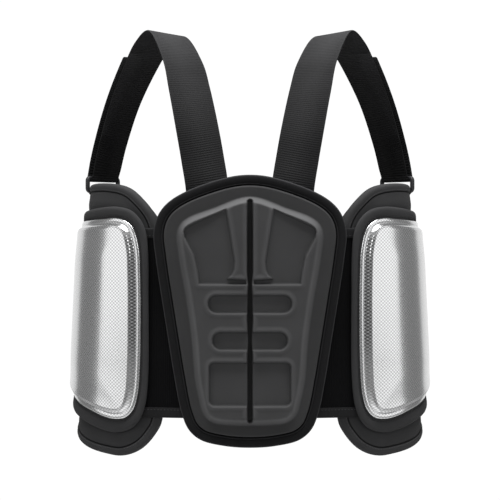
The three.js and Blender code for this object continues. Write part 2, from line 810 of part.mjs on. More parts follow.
// The distance from the ring's bar to the middle of the webbing folded round it
const foldReach = RING_WIRE / 2 + FOLD_GAP + STRAP_THICKNESS / 2

// Points of the strap from behind the chest pad to the ring, each with its width's direction
function strapStations() {
  const frontZ = beltTop + STRAP_FRONT_TUCK
  const bow = STRAP_WIDTH ** 2 / (8 * FRONT_RADIUS)
  const frontOff = chestInner - LAYER_GAP - bow - STRAP_THICKNESS / 2
  const front = onChest(STRAP_FRONT_X, frontZ, frontOff)
  const crestRoll = THREE.MathUtils.degToRad(STRAP_BACK_ROUTE[0].roll)
  const crest = STRAP_THICKNESS / 2 * Math.cos(crestRoll) - STRAP_WIDTH / 2 * Math.sin(crestRoll)
  const shoulder = new THREE.Vector3(SHOULDER_X, SHOULDER_Y, crest)
  const end = ringCentre.clone().addScaledVector(upwards, ringBarSpread)
    .addScaledVector(ringOutwards, -foldReach)
  const between = (from, to, row) => new THREE.Vector3(
    THREE.MathUtils.lerp(from.x, to.x, row.x),
    THREE.MathUtils.lerp(from.y, to.y, row.y),
    THREE.MathUtils.lerp(from.z, to.z, row.z))
  const points = [
    ...STRAP_FRONT_ROUTE.map((row) => between(front, shoulder, row)),
    ...STRAP_BACK_ROUTE.map((row) => between(shoulder, end, row)),
    end,
  ]
  const atRing = { turn: 1, roll: 0 }
  const route = new THREE.CatmullRomCurve3(points, false, 'centripetal')
  const turning = new THREE.SplineCurve([...STRAP_FRONT_ROUTE, ...STRAP_BACK_ROUTE, atRing].map(
    (row) => new THREE.Vector2(row.turn, row.roll)))
  const count = (points.length - 1) * STRAP_STEPS_PER_ROW
  const stations = []
  for (let i = 0; i <= count; i++) {
    const centre = route.getPoint(i / count)
    const tangent = i === count ? upwards.clone().negate() : route.getTangent(i / count)
    const now = turning.getPoint(i / count)
    const turn = now.x * ringTurn
    const wide = new THREE.Vector3(Math.cos(turn), -Math.sin(turn), 0)
    wide.addScaledVector(tangent, -wide.dot(tangent)).normalize()
    wide.applyAxisAngle(tangent, THREE.MathUtils.degToRad(-now.y))
    stations.push({ centre, wide, inwards: tangent.clone().cross(wide) })
  }
  return stations
}

function shoulderStrap() {
  const stations = strapStations()
  const section = (centre, wide, thick) => webbingSection(
    centre, wide, thick, STRAP_WIDTH, STRAP_THICKNESS)
  const sections = stations.map(({ centre, wide, inwards }) => section(centre, wide, inwards))
  const bar = ringCentre.clone().addScaledVector(upwards, ringBarSpread)
  for (let i = 1; i < FOLD_STEPS; i++) {
    const angle = Math.PI * i / FOLD_STEPS
    const away = ringOutwards.clone().multiplyScalar(-Math.cos(angle))
      .addScaledVector(upwards, -Math.sin(angle))
    sections.push(section(bar.clone().addScaledVector(away, foldReach), ringAlong, away))
  }
  // the free end comes back up the outside and closes on the strap near the shoulder
  const returning = stations.filter(({ centre }, i) => (
    centre.z < -RETURN_END_DROP && i > STRAP_FRONT_ROUTE.length * STRAP_STEPS_PER_ROW)).reverse()
  returning.forEach(({ centre, wide, inwards }, i) => {
    const share = i / (returning.length - 1)
    const closed = STRAP_THICKNESS + RETURN_GAP
    const apart = THREE.MathUtils.lerp(2 * foldReach, closed, share ** RETURN_EASE)
    const outwards = inwards.clone().negate()
    const middle = centre.clone().addScaledVector(outwards, apart)
      .addScaledVector(wide, RETURN_SHIFT * share)
    sections.push(section(middle, wide, outwards))
  })
  return sweepSolid(sections, false)
}

// A flat ring with rounded corners and a round-edged bar
function strapRing() {
  const halfLength = (RING_LENGTH - RING_WIRE) / 2
  const sections = []
  const corners = [
    { along: 1, up: 1, from: 0 },
    { along: -1, up: 1, from: 90 },
    { along: -1, up: -1, from: 180 },
    { along: 1, up: -1, from: 270 },
  ]
  for (const { along, up, from } of corners) {
    for (let i = 0; i <= CORNER_STEPS; i++) {
      const angle = THREE.MathUtils.degToRad(from + 90 * i / CORNER_STEPS)
      const away = ringAlong.clone().multiplyScalar(Math.cos(angle))
        .addScaledVector(upwards, Math.sin(angle))
      const centre = ringCentre.clone()
        .addScaledVector(ringAlong, along * (halfLength - RING_CORNER))
        .addScaledVector(upwards, up * (ringBarSpread - RING_CORNER))
        .addScaledVector(away, RING_CORNER)
      const section = []
      for (let side = 0; side < WIRE_SIDES; side++) {
        const round = 2 * Math.PI * (side + 0.5) / WIRE_SIDES
        section.push(centre.clone()
          .addScaledVector(away, Math.cos(round) * RING_WIRE / 2)
          .addScaledVector(ringOutwards, Math.sin(round) * RING_WIRE / 2))
      }
      sections.push(section)
    }
  }
  return sweepSolid(sections, true)
}

// The tab: a short tape folded through the ring, its long end sewn on the side pad's face
function ringTab() {
  const bar = ringCentre.clone().addScaledVector(upwards, -ringBarSpread)
  const reach = RING_WIRE / 2 + FOLD_GAP + TAB_THICKNESS / 2
  const seatOff = LAYER_GAP + TAB_THICKNESS / 2
  const bottom = tabSeat(bar.z - TAB_DROP, seatOff)
  const landing = tabSeat(bar.z - TAB_LANDING_DROP, seatOff)
  const down = landing.clone().sub(bar).normalize()
  const across = new THREE.Vector3().crossVectors(down, ringAlong).normalize()
  const outer = across.dot(ringOutwards) > 0 ? across : across.negate()
  const section = (centre, thick) => webbingSection(centre, ringAlong, thick, TAB_WIDTH, TAB_THICKNESS)
  const shortEnd = RING_STAND_OFF
  const closed = (TAB_THICKNESS + FOLD_GAP) / 2
  const sections = [
    section(bar.clone().addScaledVector(down, shortEnd).addScaledVector(outer, -closed),
      outer.clone().negate()),
  ]
  for (let i = 0; i <= FOLD_STEPS; i++) {
    const angle = Math.PI * i / FOLD_STEPS
    const away = outer.clone().multiplyScalar(-Math.cos(angle)).addScaledVector(down, -Math.sin(angle))
    sections.push(section(bar.clone().addScaledVector(away, reach), away))
  }
  sections.push(section(bar.clone().addScaledVector(down, shortEnd).addScaledVector(outer, closed), outer))
  const landingThick = outer.clone().add(ringOutwards).normalize()
  sections.push(section(landing, landingThick))
  sections.push(section(bottom, ringOutwards))
  return sweepSolid(sections, false)
}

const finishes = {
  bindingFabric: { color: 0x1b1b1c, roughness: 0.85, metalness: 0 },
  padFabric: { color: 0x2c2c2d, roughness: 0.9, metalness: 0 },
  mouldedFoam: { color: 0x3d3d3e, roughness: 0.85, metalness: 0 },
  beltFabric: { color: 0x141415, roughness: 0.9, metalness: 0 },
  silverWeave: { color: 0xc9cacc, roughness: 0.25, metalness: 0.8 },
  webbing: { color: 0x222224, roughness: 0.8, metalness: 0 },
  ringPlastic: { color: 0x3a3b3d, roughness: 0.5, metalness: 0 },
}

const protector = new THREE.Group()

function addPiece(name, geometry, finish) {
  const mesh = new THREE.Mesh(geometry, new THREE.MeshStandardMaterial(finishes[finish]))
  mesh.name = name
  protector.add(mesh)
}

function addPair(name, geometry, finish) {
  addPiece(`${name}_right`, geometry, finish)
  addPiece(`${name}_left`, mirrored(geometry), finish)
}

addPiece('chest_base_pad', chestBasePad(), 'bindingFabric')
addPiece('chest_moulding', chestMoulding(), 'mouldedFoam')
addPiece('belt', belt(), 'beltFabric')
addPiece('belt_binding_top', beltBinding(beltTop, -1), 'bindingFabric')
addPiece('belt_binding_bottom', beltBinding(beltBottom, 1), 'bindingFabric')
addPair('side_pad', sidePad(), 'padFabric')
addPair('shell_pad', shellPad(), 'padFabric')
addPair('side_shell', sideShell(), 'silverWeave')
addPair('shoulder_strap', shoulderStrap(), 'webbing')
addPair('strap_ring', strapRing(), 'ringPlastic')
addPair('ring_tab', ringTab(), 'webbing')

export default protector
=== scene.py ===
"""A rib protector as it is worn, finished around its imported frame: moulded chest pad, soft side
pads, belt, hard woven side shells, and two ribbed webbing straps on plastic rings."""

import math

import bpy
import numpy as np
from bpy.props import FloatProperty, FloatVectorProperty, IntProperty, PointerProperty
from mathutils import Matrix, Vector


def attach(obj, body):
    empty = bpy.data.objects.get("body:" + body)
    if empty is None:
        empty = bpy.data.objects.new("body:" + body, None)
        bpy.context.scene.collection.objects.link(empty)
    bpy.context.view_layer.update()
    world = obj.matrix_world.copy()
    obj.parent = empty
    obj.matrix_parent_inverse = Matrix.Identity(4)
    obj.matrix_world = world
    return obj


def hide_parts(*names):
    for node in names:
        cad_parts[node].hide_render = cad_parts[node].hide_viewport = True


bl_info = {
    "name": "Rib Protector",
    "version": (1, 0, 0),
    "blender": (4, 5, 0),
    "location": "View3D > Sidebar > Protector",
    "description": "Builds the pads, shells, belt and straps of a worn rib protector",
    "category": "Add Mesh",
}

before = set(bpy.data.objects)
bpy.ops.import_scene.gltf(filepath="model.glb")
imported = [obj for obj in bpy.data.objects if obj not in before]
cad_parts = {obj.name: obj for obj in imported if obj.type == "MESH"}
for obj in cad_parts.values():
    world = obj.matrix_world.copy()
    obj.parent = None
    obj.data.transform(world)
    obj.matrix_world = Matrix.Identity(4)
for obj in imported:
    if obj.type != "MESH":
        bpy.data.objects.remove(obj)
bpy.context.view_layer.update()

SIDES = {"left": -1, "right": 1}

# Outlines of the pads that lie on the flank: share along the piece's width, share down its
# height. Each starts at the top front corner and goes along the top, down the back, along the
# bottom and up the front; the corners are the rows where one side ends and the next begins.
SIDE_PAD_OUTLINE = (
    (0.078, 0.060), (0.135, 0.019), (0.230, 0.000), (0.498, 0.000), (0.734, 0.010),
    (0.900, 0.075), (0.978, 0.180), (1.000, 0.330), (0.996, 0.559),
    (0.942, 0.712), (0.830, 0.803), (0.685, 0.879), (0.523, 0.936), (0.378, 0.974),
    (0.240, 0.995), (0.150, 0.999),
    (0.076, 0.969), (0.020, 0.908), (0.000, 0.862), (0.000, 0.483), (0.006, 0.190), (0.032, 0.115),
)
SIDE_PAD_CORNERS = (0, 5, 9, 16)
SHELL_PAD_OUTLINE = (
    (0.050, 0.052), (0.106, 0.016), (0.200, 0.001), (0.300, 0.003), (0.456, 0.012),
    (0.620, 0.024), (0.745, 0.050),
    (0.875, 0.115), (0.964, 0.213), (1.000, 0.378), (0.994, 0.617),
    (0.929, 0.777), (0.798, 0.860), (0.637, 0.915), (0.427, 0.962), (0.300, 0.988),
    (0.193, 1.000), (0.110, 0.983),
    (0.058, 0.947), (0.022, 0.883), (0.003, 0.767), (0.000, 0.415), (0.002, 0.180), (0.016, 0.104),
)
SHELL_PAD_CORNERS = (0, 7, 11, 18)
SHELL_OUTLINE = (
    (0.046, 0.050), (0.099, 0.013), (0.173, 0.000), (0.257, 0.004), (0.430, 0.010),
    (0.600, 0.018), (0.745, 0.050),
    (0.865, 0.140), (0.962, 0.270), (1.000, 0.451), (0.985, 0.657),
    (0.904, 0.787), (0.762, 0.864), (0.620, 0.905), (0.494, 0.936), (0.370, 0.962),
    (0.240, 0.992), (0.169, 1.000), (0.103, 0.992),
    (0.054, 0.954), (0.020, 0.870), (0.006, 0.745), (0.000, 0.550), (0.000, 0.300), (0.010, 0.145),
)
SHELL_CORNERS = (0, 7, 11, 19)

# Half outlines of the chest pad from the top middle to the bottom middle: share of half the
# width, share down the height; the two corners are row numbers
CHEST_OUTLINE = (
    (0.000, 0.000), (0.240, 0.010), (0.675, 0.063), (0.863, 0.106), (0.955, 0.150),
    (1.000, 0.212), (0.974, 0.313), (0.911, 0.460), (0.844, 0.608), (0.776, 0.754), (0.705, 0.875),
    (0.628, 0.937), (0.505, 0.973), (0.260, 0.994), (0.000, 1.000),
)
CHEST_CORNERS = (4, 11)
PANEL_OUTLINE = (
    (0.000, 0.000), (0.516, 0.052), (0.835, 0.090), (0.949, 0.119), (1.000, 0.160),
    (0.967, 0.278), (0.871, 0.453), (0.795, 0.628), (0.751, 0.803), (0.700, 0.885),
    (0.636, 0.953), (0.511, 0.988), (0.197, 1.000), (0.000, 1.000),
)
PANEL_CORNERS = (3, 10)

# Upper recess of the raised panel, going round it: share of half the width, share down
UPPER_RECESS = (
    (0.322, 0.053), (0.600, 0.092), (0.840, 0.127), (0.893, 0.140), (0.908, 0.156), (0.893, 0.180),
    (0.763, 0.259), (0.715, 0.330), (0.692, 0.384), (0.050, 0.384), (0.050, 0.364), (0.300, 0.359),
    (0.245, 0.344), (0.215, 0.322), (0.206, 0.285),
)
# Recesses that cross the panel: share of the half width reached, then top and bottom as shares
# of the height, and the corners' rounding as a share of half the recess's height
CROSS_RECESSES = (
    (0.573, 0.430, 0.510, 0.95),
    (0.513, 0.591, 0.670, 0.95),
    (0.560, 0.724, 0.915, 0.26),
)
# The upright slot: share down, share of its width
MIDDLE_SLOT = (
    (0.000, 1.00), (0.330, 1.00), (0.388, 0.62), (0.440, 0.90), (0.540, 1.00),
    (0.632, 0.68), (0.700, 0.95), (1.000, 0.95),
)

# The strap's centre line as shares of the way from its front end to the shoulder (x, y, z),
# then the turn of its width about the upright as a share of the ring's turn, and the degrees
# by which its outer edge is lifted
STRAP_FRONT_ROUTE = (
    (0.000, 0.000, 0.000, -0.17, 0.0), (0.018, 0.016, 0.173, -0.16, 0.0),
    (0.120, 0.108, 0.323, -0.08, 0.0), (0.240, 0.215, 0.473, 0.00, 0.0),
    (0.433, 0.459, 0.687, 0.15, 1.5), (0.605, 0.695, 0.842, 0.28, 4.5),
)
# The same from the shoulder to the ring
STRAP_BACK_ROUTE = (
    (0.000, 0.000, 0.000, 0.49, 7.5), (0.210, 0.340, 0.055, 0.60, 5.0),
    (0.420, 0.660, 0.205, 0.70, 2.0), (0.690, 0.960, 0.470, 0.85, 0.0),
    (0.885, 1.040, 0.760, 0.95, 0.0),
)

# Width of the body that it fits, at drops from the shoulders; metres
BODY_WIDTHS = (
    (0.0000, 0.2798), (0.3450, 0.3122), (0.3850, 0.3232), (0.4170, 0.3260), (0.6000, 0.3420),
)
# Neighbouring heights whose widths are averaged to ease the bends
WIDTH_SAMPLES = 9

# Where the painted highlight line and the painted groove shade of a seam rise and fall, past the seam and
# inwards; metres
SEAM_HIGHLIGHT = ((-0.0026, -0.0020), (-0.0014, -0.0008))
SEAM_GROOVE_SHADE = ((-0.0010, -0.0006), (0.0004, 0.0009))
# Distances from a pad's edge between which its painted edge highlight fades out
EDGE_HIGHLIGHT = (0.0002, 0.0016)

# Steps from one row of the strap's routes to the next, and round the bar of its ring
STRAP_STEPS = 40
FOLD_STEPS = 25
# Columns over one face of a tape, and round one of its rounded sides; the two quads that close
# each side's end need just four there
TAPE_COLUMNS = 15
TAPE_TURNS = 4

UP = np.array([0.0, 0.0, 1.0])


def length(name, default, description):
    """A length property in metres."""
    return FloatProperty(name=name, default=default, description=description, precision=5,
                         subtype="DISTANCE", unit="LENGTH")


def shade(name, default, description):
    """A colour property, linear, from 0 to 1."""
    return FloatVectorProperty(name=name, default=default, description=description, size=3,
                               subtype="COLOR", min=0.0, max=1.0)


class BodySettings(bpy.types.PropertyGroup):
    """The oval that the protector is worn round."""

    front_radius: length("Front radius", 0.255, "Radius of the flat front and back arcs")
    flank_radius: length("Flank radius", 0.096, "Radius of the rounded flanks")
    soften: length("Soften", 0.016, "Reach over which the bends of its sides are eased")


class SidePadSettings(bpy.types.PropertyGroup):
    """The big soft pads next to the body."""

    drop: length("Drop", 0.1533, "Top edge, down from the shoulders")
    height: length("Height", 0.2632, "From the top edge to the bottom edge")
    start: length("Start", 0.085, "Girth from the middle of the chest to the front edge")
    width: length("Width", 0.241, "Girth from the front edge to the back edge")
    thickness: length("Thickness", 0.009, "Thickness of the laminated foam")
    puff: length("Puff", 0.0022, "Swelling of the free stretches above and below the belt")
    rim: length("Rim", 0.008, "Width of the bound edge")
    top_flare: FloatProperty(name="Top flare", default=0.12, description="Slope of the top edge")
    hem_flare: FloatProperty(name="Hem flare", default=0.16, description="Slope of the hem")
    flare_start: length("Flare start", 0.009, "Where the slopes start, beyond the belt")


class BeltSettings(bpy.types.PropertyGroup):
    """The belt and the tapes folded over its edges."""

    drop: length("Drop", 0.1968, "Top edge, down from the shoulders")
    height: length("Height", 0.182, "From the top edge to the bottom edge")
    thickness: length("Thickness", 0.0014, "Thickness of the elastic fabric")
    tape: length("Tape", 0.0007, "Thickness of the folded tape")
    tape_gap: length("Tape gap", 0.0003, "Room between the tape and the belt")
    binding: length("Binding", 0.0098, "Height of the folded tape")


class ShellPadSettings(bpy.types.PropertyGroup):
    """The second padded layer that frames each shell."""

    drop: length("Drop", 0.1757, "Top edge, down from the shoulders")
    height: length("Height", 0.2184, "From the top edge to the bottom edge")
    start: length("Start", 0.094, "Girth from the middle of the chest to the front edge")
    width: length("Width", 0.168, "Girth from the front edge to the back edge")
    thickness: length("Thickness", 0.003, "Thickness at the rim")
    puff: length("Puff", 0.0007, "Swelling of the rim round the shell")


class ShellSettings(bpy.types.PropertyGroup):
    """The hard woven shells."""

    drop: length("Drop", 0.1871, "Top edge, down from the shoulders")
    height: length("Height", 0.1937, "From the top edge to the bottom edge")
    start: length("Start", 0.1002, "Girth from the middle of the chest to the front edge")
    width: length("Width", 0.1501, "Girth from the front edge to the back edge")
    wall: length("Wall", 0.0014, "Thickness of the moulded wall")
    rise: length("Rise", 0.0044, "How far the dome stands over the flange")
    flange: length("Flange", 0.0045, "Width of the flat flange")
    bevel: length("Bevel", 0.0035, "Width of the slope from the flange to the dome")
    weave: length("Weave", 0.0023, "Pitch of the diagonal weave")


class ChestSettings(bpy.types.PropertyGroup):
    """The chest pad: soft base, flat border and raised panel."""

    drop: length("Drop", 0.1462, "Top edge, down from the shoulders")
    height: length("Height", 0.2599, "From the top edge to the bottom edge")
    width: length("Width", 0.1854, "Across the widest part")
    thickness: length("Thickness", 0.006, "Thickness of the base")
    rim: length("Rim", 0.0103, "Width of the bound edge")
    border: length("Border", 0.002, "Thickness of the moulding's flat border")
    panel_drop: length("Panel drop", 0.1671, "Top of the raised panel")
    panel_height: length("Panel height", 0.2175, "Height of the raised panel")
    panel_width: length("Panel width", 0.1394, "Width of the raised panel")
    panel_rise: length("Panel rise", 0.0083, "How far the panel stands over the border")
    panel_bevel: length("Panel bevel", 0.0062, "Width of the panel's soft slope")
    recess: length("Recess", 0.003, "Depth of the recesses")
    lip: length("Lip", 0.0007, "Swelling along the recesses' edges")
    slot: length("Slot", 0.0058, "Width of the middle slot")
    slot_depth: length("Slot depth", 0.007, "Depth of the middle slot")


class StrapSettings(bpy.types.PropertyGroup):
    """The shoulder straps, their rings and the rings' tabs."""

    width: length("Width", 0.0412, "Width of the webbing")
    thickness: length("Thickness", 0.0016, "Thickness of the webbing")
    front_x: length("Front end", 0.0404, "Sideways place of the strap's front end")
    tuck: length("Tuck", 0.005, "How far the front end reaches over the belt's top edge")
    shoulder_x: length("Shoulder", 0.0834, "Sideways place of the highest point")
    shoulder_y: length("Shoulder depth", 0.002, "Front to back place of the highest point")
    return_drop: length("Return end", 0.025, "Drop of the returning free end")
    return_gap: length("Return gap", 0.0012, "Room under the returning free end")
    return_shift: length("Return shift", 0.003, "How far the free end lies to the outside")
    rib: length("Rib pitch", 0.0024, "Spacing of the webbing's cross ribs")
    fold_gap: length("Fold gap", 0.0004, "Room inside a fold")
    ring_length: length("Ring length", 0.052, "Outer length of the ring")
    ring_height: length("Ring height", 0.0175, "Outer height of the ring")
    ring_wire: length("Ring bar", 0.0042, "Thickness of the ring's bars")
    ring_corner: length("Ring corner", 0.0031, "Radius of the ring's corners")
    ring_drop: length("Ring drop", 0.151, "Drop of the ring's middle")
    ring_turn: FloatProperty(name="Ring turn", default=math.radians(53), subtype="ANGLE",
                             description="Turn of the ring from facing straight back")
    ring_stand_off: length("Ring stand-off", 0.015, "From the tab's seat to the ring's middle")
    tab_width: length("Tab width", 0.038, "Width of the ring's tab")
    tab_thickness: length("Tab thickness", 0.0014, "Thickness of the tab's tape")
    tab_drop: length("Tab drop", 0.029, "Length of the tab under the ring")
    tab_landing: length("Tab landing", 0.021, "From the ring's lower bar to where the tab lands")


class StitchSettings(bpy.types.PropertyGroup):
    """The lockstitch rows."""

    pitch: length("Pitch", 0.0034, "From one stitch to the next")
    reach: length("Length", 0.0026, "Length of one stitch")
    thread: length("Thread", 0.0006, "Width of the thread")
    seed: IntProperty(name="Seed", default=7, description="Seed of the stitches' small tilts")


class FinishSettings(bpy.types.PropertyGroup):
    """Base colours of the finishes."""

    binding: shade("Binding", (0.0105, 0.0105, 0.011), "Binding of the pads and the belt")
    pad: shade("Pad", (0.033, 0.033, 0.034), "Laminated knit of the soft pads")
    moulding: shade("Moulding", (0.043, 0.043, 0.044), "Pressed cover of the chest moulding")
    belt: shade("Belt", (0.0035, 0.0035, 0.0038), "Elastic fabric of the belt")
    shell: shade("Shell", (0.72, 0.725, 0.73), "Silvery weave of the shells")
    webbing: shade("Webbing", (0.029, 0.029, 0.030), "Ribbed webbing")
    ring: shade("Ring", (0.018, 0.018, 0.020), "Plastic of the rings")
    thread: shade("Thread", (0.020, 0.020, 0.021), "Polyester sewing thread")
    floor: shade("Floor", (0.86, 0.86, 0.86), "Floor of the studio")


class StudioSettings(bpy.types.PropertyGroup):
    """Camera and light."""

    distance: length("Camera distance", 2.6, "From the shoulders' plane to the camera")
    height: length("Camera height", -0.218, "Height of the camera from the shoulders")
    view: length("View", 0.5, "Width that the picture takes in at the shoulders' plane")
    floor_drop: length("Floor", 1.42, "Floor, down from the shoulders")


class ProtectorSettings(bpy.types.PropertyGroup):
    """Everything that a user would change."""

    body: PointerProperty(type=BodySettings)
    side_pad: PointerProperty(type=SidePadSettings)
    belt: PointerProperty(type=BeltSettings)
    shell_pad: PointerProperty(type=ShellPadSettings)
    shell: PointerProperty(type=ShellSettings)
    chest: PointerProperty(type=ChestSettings)
    strap: PointerProperty(type=StrapSettings)
    stitch: PointerProperty(type=StitchSettings)
    finish: PointerProperty(type=FinishSettings)
    studio: PointerProperty(type=StudioSettings)


def settings():
    """The scene's settings for the protector."""
    return bpy.context.scene.rib_protector


class Layers:
    """Distances outwards from the body at which each layer lies."""

    GAP = 0.0006
    DOME_GAP = 0.0009

    def __init__(self):
        made = settings()
        self.side_pad = made.side_pad.thickness
        self.binding_in = self.side_pad + self.GAP
        self.belt_in = self.binding_in + made.belt.tape + made.belt.tape_gap
        self.belt_out = self.belt_in + made.belt.thickness
        self.binding_out = self.belt_out + made.belt.tape_gap + made.belt.tape
        self.shell_pad_in = self.binding_out + self.GAP
        self.shell_pad_out = self.shell_pad_in + made.shell_pad.thickness
        self.flange_in = self.shell_pad_out + self.GAP
        self.flange_out = self.flange_in + made.shell.wall
        self.dome_in = self.flange_in + made.shell.rise
        self.dome_out = self.flange_out + made.shell.rise
        self.chest_in = self.binding_out + self.GAP
        self.chest_out = self.chest_in + made.chest.thickness
        self.border_in = self.chest_out + self.GAP
        self.border_out = self.border_in + made.chest.border
        self.belt_top = -made.belt.drop
        self.belt_bottom = -made.belt.drop - made.belt.height


def ease(value, start, end):
    """0 before start, 1 after end, and a soft S between them."""
    share = np.clip((value - start) / (end - start), 0.0, 1.0)
    return share * share * (3.0 - 2.0 * share)


def between(value, rise, fall):
    """1 between a soft rise and a soft fall, each given by its start and its end."""
    return ease(value, *rise) * (1 - ease(value, *fall))


def unit(ways):
    """The ways, each brought to length 1."""
    return ways / np.linalg.norm(ways, axis=-1, keepdims=True)


def body_oval(z):
    """The oval at each height: flank arc's centre, front arc's centre and the front arc's bend."""
    body = settings().body
    drops, widths = zip(*BODY_WIDTHS)
    nearby = [np.interp(shift - np.asarray(z), drops, widths)
              for shift in np.linspace(-body.soften, body.soften, WIDTH_SAMPLES)]
    width = sum(nearby) / len(nearby)
    core = body.front_radius - body.flank_radius
    flank_centre = width / 2 - body.flank_radius
    bend = np.arcsin(flank_centre / core)
    return flank_centre, core * np.cos(bend), bend


def flare(z):
    """How far the side pads' free edges stand off the body beyond the belt."""
    pad, belt = settings().side_pad, settings().belt
    at_top = pad.top_flare * (z + belt.drop - pad.flare_start)
    at_hem = pad.hem_flare * (-belt.drop - belt.height - z - pad.flare_start)
    return np.maximum(0, np.maximum(at_top, at_hem))


def on_body(girth, z, off):
    """Points at a girth from the middle of the chest towards +X, a height and a distance out."""
    body = settings().body
    girth, z, off = np.broadcast_arrays(*(np.asarray(v, float) for v in (girth, z, off)))
    flank_centre, front_centre, bend = body_oval(z)
    side, along = np.sign(girth), np.abs(girth)
    front_girth = body.front_radius * bend
    flank_girth = body.flank_radius * (math.pi - 2 * bend)
    front, flank = body.front_radius + off, body.flank_radius + off
    a = along / body.front_radius
    b = bend + (along - front_girth) / body.flank_radius
    c = math.pi - bend + (along - front_girth - flank_girth) / body.front_radius
    on_front = along <= front_girth
    on_flank = ~on_front & (along <= front_girth + flank_girth)
    x = np.where(on_front, front * np.sin(a),
                 np.where(on_flank, flank_centre + flank * np.sin(b), front * np.sin(c)))
    y = np.where(on_front, front_centre - front * np.cos(a),
                 np.where(on_flank, -flank * np.cos(b), -front_centre - front * np.cos(c)))
    return np.stack([side * x, y, z], axis=-1)


def on_chest(x, z, off):
    """Points over the chest, given straight across instead of along the girth."""
    body = settings().body
    x, z, off = np.broadcast_arrays(*(np.asarray(v, float) for v in (x, z, off)))
    flank_centre, front_centre, bend = body_oval(z)
    across = np.abs(x)
    front, flank = body.front_radius + off, body.flank_radius + off
    on_front = across <= front * np.sin(bend)
    y_front = front_centre - np.sqrt(np.maximum(front ** 2 - across ** 2, 0))
    y_flank = -np.sqrt(np.maximum(flank ** 2 - (across - flank_centre) ** 2, 0))
    return np.stack([x, np.where(on_front, y_front, y_flank), z], axis=-1)


def spline(points, at, closed=False):
    """Points on a centripetal Catmull-Rom curve; at is in rows of the table."""
    points = np.asarray(points, float)
    if closed:
        rows = np.concatenate([points[-1:], points, points[:2]])
    else:
        rows = np.concatenate([2 * points[:1] - points[1:2], points, 2 * points[-1:] - points[-2:-1]])
    at = np.asarray(at, float)
    last = len(points) - (0 if closed else 1)
    first = np.clip(np.floor(at).astype(int), 0, last - 1)
    t = (at - first)[:, None]
    p0, p1, p2, p3 = (rows[first + i] for i in range(4))
    d0, d1, d2 = (np.maximum(np.linalg.norm(b - a, axis=1, keepdims=True) ** 0.5, 1e-9)
                  for a, b in ((p0, p1), (p1, p2), (p2, p3)))
    m1 = ((p1 - p0) / d0 - (p2 - p0) / (d0 + d1) + (p2 - p1) / d1) * d1
    m2 = ((p2 - p1) / d1 - (p3 - p1) / (d1 + d2) + (p3 - p2) / d2) * d1
    return ((2 * t ** 3 - 3 * t ** 2 + 1) * p1 + (t ** 3 - 2 * t ** 2 + t) * m1
            + (-2 * t ** 3 + 3 * t ** 2) * p2 + (t ** 3 - t ** 2) * m2)


def outline_loop(points, corners, steps):
    """A smooth closed outline with a set count of even steps on each of its four sides."""
    fine = 24
    loop = []
    for side, first in enumerate(corners):
        last = corners[side + 1] if side + 1 < len(corners) else len(points) + corners[0]
        at = np.linspace(first, last, (last - first) * fine + 1)
        dense = spline(points, at % len(points), closed=True)
        gone = np.concatenate([[0], np.cumsum(np.linalg.norm(np.diff(dense, axis=0), axis=1))])
        target = np.linspace(0, gone[-1], steps[side] + 1)[:-1]
        loop.append(np.stack([np.interp(target, gone, dense[:, i]) for i in range(2)], axis=1))
    return np.concatenate(loop)


def flank_loop(table, corners, size, steps):
    """The outline of a pad or shell on the flank, as girth and height."""
    points = [(size.start + along * size.width, -size.drop - down * size.height)
              for along, down in table]
    return outline_loop(points, corners, steps + steps)


def chest_loop(table, corners, width, drop, height, steps):
    """The outline of a chest piece, both halves, as sideways place and height."""
    half = [(out * width / 2, -drop - down * height) for out, down in table]
    other = [(-x, z) for x, z in half[-2:0:-1]]
    mirror = [2 * (len(table) - 1) - i for i in corners][::-1]
    return outline_loop(half + other, [*corners, *mirror], steps + steps)


def inset(loop, distance):
    """The loop moved inwards, square to itself."""
    along = unit(np.roll(loop, -1, axis=0) - np.roll(loop, 1, axis=0))
    area = np.sum(loop[:, 0] * np.roll(loop[:, 1], -1) - np.roll(loop[:, 0], -1) * loop[:, 1])
    turn = np.sign(area)
    return loop + distance * turn * np.stack([-along[:, 1], along[:, 0]], axis=1)


def fill_loop(loop, steps):
    """A grid of points that fills a loop whose sides have the given steps."""
    across, down = steps
    top = loop[:across + 1]
    back = loop[across:across + down + 1]
    bottom = loop[across + down:2 * across + down + 1][::-1]
    front = np.concatenate([loop[2 * across + down:], loop[:1]])[::-1]
    u = np.linspace(0, 1, across + 1)[None, :, None]
    v = np.linspace(0, 1, down + 1)[:, None, None]
    grid = (1 - v) * top[None] + v * bottom[None] + (1 - u) * front[:, None] + u * back[:, None]
    return grid - ((1 - u) * (1 - v) * loop[0] + u * (1 - v) * loop[across]
                   + (1 - u) * v * bottom[0] + u * v * bottom[-1])


def distance_to(loop, x, z):
    """Signed distance from each point to a closed outline, positive inside."""
    points = np.stack([np.ravel(x), np.ravel(z)], axis=1)
    best = np.full(len(points), np.inf)
    inside = np.zeros(len(points), bool)
    for a, b in zip(loop, np.roll(loop, -1, axis=0)):
        ab, ap = b - a, points - a
        t = np.clip(ap @ ab / max(ab @ ab, 1e-18), 0, 1)
        best = np.minimum(best, np.hypot(*(ap - t[:, None] * ab).T))
        crosses = (a[1] > points[:, 1]) != (b[1] > points[:, 1])
        if a[1] != b[1]:
            at = a[0] + (points[:, 1] - a[1]) * (b[0] - a[0]) / (b[1] - a[1])
            inside ^= crosses & (points[:, 0] < at)
    return np.where(inside, best, -best).reshape(np.shape(x))


def store(mesh, name, values):
    """Keeps one number for each vertex of a mesh, which its finish can read."""
    data = mesh.attributes.new(name, "FLOAT", "POINT").data
    data.foreach_set("value", np.asarray(values, np.float32))


def places_of(mesh):
    """The places of a mesh's vertices."""
    places = np.empty(len(mesh.vertices) * 3)
    mesh.vertices.foreach_get("co", places)
    return places.reshape(-1, 3)


